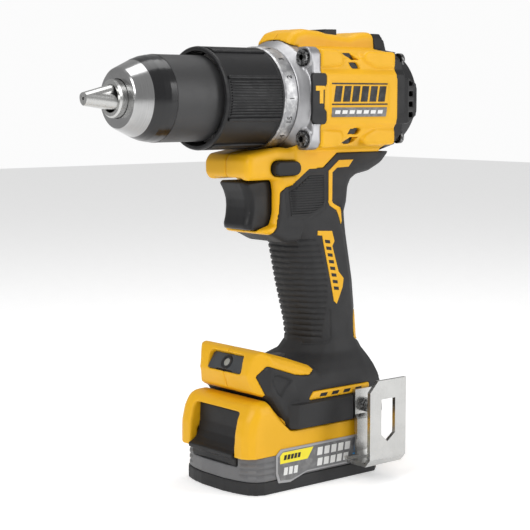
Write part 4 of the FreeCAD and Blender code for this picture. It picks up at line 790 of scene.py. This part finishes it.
def groove_weight(point, normal):
    """The finger grooves round the front and sides of the handle."""
    x, y, z = point
    if not 69.0 < z < 124.0 or x > between(z, GROOVE_REAR):
        return 0.0
    if normal.x * (x - between(z, HANDLE_MIDDLE)) + normal.y * y < 0.0:
        return 0.0
    count = min(GROOVE_COUNT - 1, max(0, round((GROOVE_TOP - z) / GROOVE_PITCH)))
    if count == 0 and x < -4.0:
        return 0.0
    off = abs(z - GROOVE_TOP + count * GROOVE_PITCH) / GROOVE_HALF_WIDTH
    fade = min(1.0, (between(z, GROOVE_REAR) - x) / GROOVE_FADE)
    return max(0.0, 1.0 - off * off) * fade


def panel_weight(point, normal):
    """The sunk field of the ribbed panel and the line round it."""
    x, y, z = point
    if abs(y) < 13.0 or normal.y * y < 0.0 or not 132.0 < z < 158.0:
        return 0.0
    if inside(RIBBED_PANEL, x, z):
        return min(1.0, edge_distance(RIBBED_PANEL, x, z) / SINK_RAMP)
    near = edge_distance(PANEL_FRAME, x, z)
    return max(0.0, 0.8 - near) if near < 0.8 else 0.0


def foot_panel_weight(point, normal):
    """The sunk field on each side of the foot, behind the lamp."""
    x, y, z = point
    if abs(y) < 12.0 or normal.y * y < 0.0 or not inside(FOOT_PANEL, x, z):
        return 0.0
    return min(1.0, edge_distance(FOOT_PANEL, x, z) / 0.8)


def seam_weight(point, normal):
    """The fine line below the finger grooves."""
    x, y, z = point
    if not 66.0 < z < 88.0 or normal.y * y < 0.0 or abs(y) < 6.0:
        return 0.0
    return max(0.0, 1.0 - line_distance(GROOVE_FIELD_EDGE, x, z) / SINK_RAMP)


def make_grip_skin():
    """The soft grip, both halves in one unbroken skin, with finger grooves and the sunk panels."""
    skin = join(cad_copy("soft_grip", "grip_left"), [cad_copy("right_half", "grip_right")])
    soften(skin, 0.5, 6, 800000, GRIP_ROUNDS)
    press_in(skin, groove_weight, 0.75)
    press_in(skin, seam_weight, 0.5)
    press_in(skin, foot_panel_weight, 1.1)
    press_in(skin, panel_weight, 0.5)
    return skin


def finish_grip_skin(skin):
    """Thinned out where it is smooth, once the trims have been fitted to it."""
    thin_out(skin, 196000)
    settle(skin, "root", FINISHES["soft_grip"], "grip_left", "grip_right", slot="soft_grip")


ACCENT = [(30.9, 162.8), (21.0, 162.8), (13.9, 157.5), (14.0, 141.9), (15.8, 139.8), (21.2, 137.0),
          (24.0, 133.2), (25.6, 129.6), (26.6, 131.2), (25.6, 134.8), (22.6, 138.6), (17.6, 141.0),
          (16.3, 142.2), (16.4, 156.7), (19.6, 159.0), (27.7, 159.3)]
INSERT = [(8.0, 127.2), (17.7, 126.6), (19.5, 121.3), (17.9, 118.8), (22.3, 105.2), (26.0, 101.6),
          (25.1, 97.0), (21.1, 88.7), (19.3, 90.2), (11.0, 124.6), (8.0, 124.9)]


def make_grip_trims(base):
    """Yellow trims let into the left and right grips, and the fine ribs of the panels."""
    for side, sign in (("left", -1), ("right", 1)):
        low, high = sorted((sign * 12.5, sign * 24.0))
        for name, outline in (("grip_accent_", ACCENT), ("grip_insert_", INSERT)):
            trim = inlay(name + side, outline, base, 0.28, low, high)
            settle(trim, "root", FINISHES["yellow_plastic"], slot="yellow_plastic")
        marks = []
        for count in range(8):
            z = 122.4 - 3.5 * count
            x = 12.7 + 0.245 * (122.4 - z)
            mark = [(x, z), (x + 3.4, z - 0.5), (x + 3.7, z - 2.2), (x + 0.4, z - 1.7)]
            marks.append(outline_solid("mark", mark, low, high))
        row = join(marks[0], marks[1:])
        row.name = "insert_marks_" + side
        boolean(row, raised_skin(base, 0.36), "INTERSECT")
        settle(row, "root", FINISHES["black_plastic"])
        bars = [outline_solid("rib", rectangle(-13.0, 13.0, z - 0.34, z + 0.34), low, high)
                for z in [136.0 + 1.25 * count for count in range(16)]]
        ribs = join(bars[0], bars[1:])
        ribs.name = "panel_ribs_" + side
        field = inlay("field", RIBBED_PANEL, base, 0.55, low, high)
        boolean(ribs, field, "INTERSECT")
        settle(ribs, "root", FINISHES["soft_grip"], slot="soft_grip")


# ---------------------------------------------------------------- controls
# The whole front of the trigger is rounded further, below its hidden top edge.
TRIGGER_ROUNDS = (((-60, -30, 90), (10, 30, 150), 26),)


def make_controls():
    """Trigger with a rounded scoop, direction buttons and the speed wedge."""
    for name, node, body, finish, voxel in (
            ("concave_trigger", "trigger", "trigger", "black_plastic", 0.4),
            ("direction_buttons", "direction_bar", "direction_bar", "black_plastic", 0.35),
            ("speed_wedge", "speed_slider", "shift", "black_plastic", 0.3)):
        rounds = TRIGGER_ROUNDS if node == "trigger" else ()
        piece = soften(cad_copy(name, node), voxel, 3, 80000, rounds)
        settle(piece, body, FINISHES[finish], node, slot=finish)


# ---------------------------------------------------------------- lamp
LAMP_PLACE = (-37.0, 0.0, 62.2)
LAMP_TILT = 32.0


def tilt_lamp(obj):
    """Turns a piece drawn upright at the lamp's centre to face forward and up."""
    turn(obj, -LAMP_TILT, "Y", (0.0, 0.0, 0.0))
    shift(obj, LAMP_PLACE)
    return obj


def make_lamp():
    """The tinted window with its angled frame, and the round emitter in the middle of it."""
    window = [(-12.9, -4.2), (-11.6, -4.6), (-7.0, -4.6), (-6.2, -3.9), (6.2, -3.9), (7.0, -4.6),
              (11.6, -4.6), (12.9, -4.2), (12.9, 3.6), (11.6, 4.6), (-11.6, 4.6), (-12.9, 3.6)]
    tray = outline_solid("lamp_tray", rectangle(-13.1, 13.1, -4.5, 4.5), 0.4, 1.3, "x", 0.2, 1)
    settle(tilt_lamp(tray), "root", FINISHES["black_plastic"])
    pane = tilt_lamp(outline_solid("lamp_window", window, -0.9, 1.0, "x", 0.3, 2))
    settle(pane, "root", FINISHES["clear_lens"], "lamp_lens", slot="clear_lens")
    for name, profile, finish in (
            ("lamp_bezel", [(-1.2, 2.5), (-1.4, 2.8), (-1.4, 3.6), (-1.1, 3.9), (-0.6, 3.9), (-0.6, 2.5)],
             "black_plastic"),
            ("lamp_emitter", [(-0.7, 0.0), (-1.3, 0.05), (-1.25, 0.9), (-1.05, 1.7), (-0.7, 2.4)],
             "lamp_diode")):
        ring = lathe(name, profile, 40)
        shift(ring, (0.0, 0.0, -SPINDLE_Z))
        tilt_lamp(ring)
        shade(ring, 40)
        settle(ring, "root", FINISHES[finish])


# ---------------------------------------------------------------- battery
# The battery's upper shell is moulded with large radii at its front.
BATTERY_ROUNDS = (((-60, -40, 24), (-22, 40, 60), 30),)


def make_battery():
    """Upper shell, grey band with ribbed corners, rubber base and latch."""
    for name, node, finish, voxel, smooth in (
            ("battery_upper_shell", "battery_top_case", "yellow_plastic", 0.55, 6),
            ("battery_grey_band", "battery_lower_case", "grey_plastic", 0.5, 3),
            ("battery_rubber_base", "battery_base", "soft_grip", 0.5, 3)):
        piece = cad_copy(name, node)
        soften(piece, voxel, smooth, 150000, BATTERY_ROUNDS if node == "battery_top_case" else ())
        if node == "battery_lower_case":
            press_in(piece, corner_rib_weight, 0.8)
        settle(piece, "battery", FINISHES[finish], node, slot=finish)
    latch = soften(cad_copy("scooped_latch", "battery_latch"), 0.35, 3, 80000)
    settle(latch, "battery_latch", FINISHES["black_plastic"], "battery_latch", slot="black_plastic")


def corner_rib_weight(point, normal):
    """Three grooves round each front corner of the grey band."""
    x, y, z = point
    if x > -31.0 or abs(y) < 19.0 or normal.x * x + normal.y * y < 0.0:
        return 0.0
    off = min(abs(z - level) for level in (9.4, 12.4, 15.4)) / 0.8
    return max(0.0, 1.0 - off * off)


LABEL = [(-30.2, 9.6), (-28.6, 4.6), (-21.0, 4.0), (-10.0, 7.4), (24.0, 7.4), (28.6, 10.0), (30.0, 12.0),
         (30.0, 21.4), (-27.0, 21.4), (-30.2, 18.6)]
LABEL_MIDDLE_Z = 13.2
LABEL_FACE = 29.0           # side face of the battery's lower case


def make_battery_labels():
    """Label plates on both sides of the battery with generic colour blocks and bars."""
    def plate_piece(name, outline, proud, finish, edge=0.1):
        piece = outline_solid(name, outline, -LABEL_FACE - proud, -LABEL_FACE + 0.4, "y", edge, 1)
        settle_both(piece, name.replace("left", "right"), "battery", FINISHES[finish])

    plate_piece("label_frame_left", LABEL, 0.35, "silver_print", 0.25)
    field = [(x * 0.965, LABEL_MIDDLE_Z + (z - LABEL_MIDDLE_Z) * 0.86) for x, z in LABEL]
    plate_piece("label_field_left", field, 0.45, "grey_plastic")
    plate_piece("label_tag_left", [(-27.8, 14.2), (-9.6, 14.2), (-5.6, 19.8), (-26.0, 19.8), (-27.8, 18.2)],
                0.55, "tag_print")
    rows = ((-25.6, -14.2, 15.9, 18.3, 5, 0.65, "black_plastic", "tag_bars_left"),
            (-25.6, -15.6, 8.2, 12.0, 3, 0.55, "white_print", "small_bars_left"),
            (-3.2, 20.6, 14.8, 18.8, 5, 0.55, "white_print", "upper_bars_left"),
            (-3.2, 19.2, 9.4, 13.2, 5, 0.55, "white_print", "lower_bars_left"),
            (22.6, 28.0, 13.0, 18.8, 1, 0.55, "blue_print", "blue_blocks_left"),
            (21.2, 26.2, 9.4, 12.2, 1, 0.55, "blue_print", "blue_foot_left"))
    for x0, x1, z0, z1, count, proud, finish, name in rows:
        step = (x1 - x0) / count
        bars = []
        for number in range(count):
            a = x0 + step * number
            b = a + step * (0.72 if count > 1 else 1.0)
            bars.append(outline_solid("bar", slanted(a, b, z0, z1, 0.6),
                                      -LABEL_FACE - proud, -LABEL_FACE + 0.4))
        piece = join(bars[0], bars[1:]) if count > 1 else bars[0]
        piece.name = name
        settle_both(piece, name.replace("left", "right"), "battery", FINISHES[finish])


make_housing_shells()
make_vent_painted_shade()
make_gear_case()
make_rear_cap()
make_badges()
make_side_labels()
make_torque_collar()
make_number_ring_marks()
make_chuck_details()
grip = make_grip_skin()
make_grip_trims(grip)
finish_grip_skin(grip)
make_controls()
make_lamp()
make_battery()
make_battery_labels()


# ---------------------------------------------------------------- studio
AMBIENT = 0.45
FLOOR_GLOW = 0.32
LENS_MM = 98.5
CAMERA_PLACE = (-0.4860, -0.5606, 0.1940)
CAMERA_TURN = -40.17
CAMERA_LIFT = 6.55


def area_light(name, place, target, size, power):
    """A soft white rectangular light aimed at a point; metres and watts."""
    lamp = bpy.data.lights.new(name, "AREA")
    lamp.shape = "RECTANGLE"
    lamp.size, lamp.size_y = size
    lamp.energy = power
    holder = bpy.data.objects.new(name, lamp)
    bpy.context.collection.objects.link(holder)
    holder.location = place
    holder.rotation_euler = (Vector(target) - Vector(place)).to_track_quat("-Z", "Y").to_euler()


def build_studio():
    """A pale paper floor, a white surround and three soft lights."""
    bpy.ops.mesh.primitive_plane_add(size=6.0, location=(0.0, 0.0, -0.0002))
    floor = bpy.context.object
    floor.name = "studio_floor"
    material, tree, shader = new_material("floor_paper", (0.90, 0.90, 0.90), 0.9)
    grain = use_group(tree, MOULDED_GRAIN, Scale=300.0)
    tree.links.new(mix_color(tree, grain.outputs["Patches"], (0.91, 0.91, 0.91), (0.88, 0.88, 0.88)),
                   shader.inputs["Base Color"])
    shader.inputs["Emission Color"].default_value = (1.0, 1.0, 1.0, 1.0)
    shader.inputs["Emission Strength"].default_value = FLOOR_GLOW
    paint(floor, material)
    world = bpy.data.worlds.new("studio")
    world.use_nodes = True
    tree = world.node_tree
    ray = tree.nodes.new("ShaderNodeLightPath")
    power = math_node(tree, "MULTIPLY_ADD", ray.outputs["Is Camera Ray"], 0.52, AMBIENT)
    tree.links.new(power, tree.nodes["Background"].inputs["Strength"])
    tree.nodes["Background"].inputs["Color"].default_value = (1.0, 1.0, 1.0, 1.0)
    bpy.context.scene.world = world
    middle = (0.0, 0.0, 0.12)
    area_light("key_softbox", (-0.9, -0.35, 0.75), middle, (0.5, 0.7), 5.5)
    area_light("side_softbox", (0.55, -0.85, 0.45), middle, (0.35, 0.8), 4.0)
    area_light("top_softbox", (0.0, 0.1, 1.0), middle, (0.8, 0.5), 3.5)


def set_camera():
    """A long lens from the front left, a little above the drill."""
    lens = bpy.data.cameras.new("camera")
    lens.lens = LENS_MM
    lens.sensor_width = 36.0
    holder = bpy.data.objects.new("camera", lens)
    bpy.context.collection.objects.link(holder)
    around, lift = math.radians(CAMERA_TURN), math.radians(CAMERA_LIFT)
    back = Vector((math.sin(around) * math.cos(lift), -math.cos(around) * math.cos(lift), math.sin(lift)))
    holder.location = CAMERA_PLACE
    holder.rotation_euler = (-back).to_track_quat("-Z", "Y").to_euler()
    bpy.context.scene.camera = holder
    bpy.context.scene.view_settings.view_transform = "Standard"


build_studio()
set_camera()
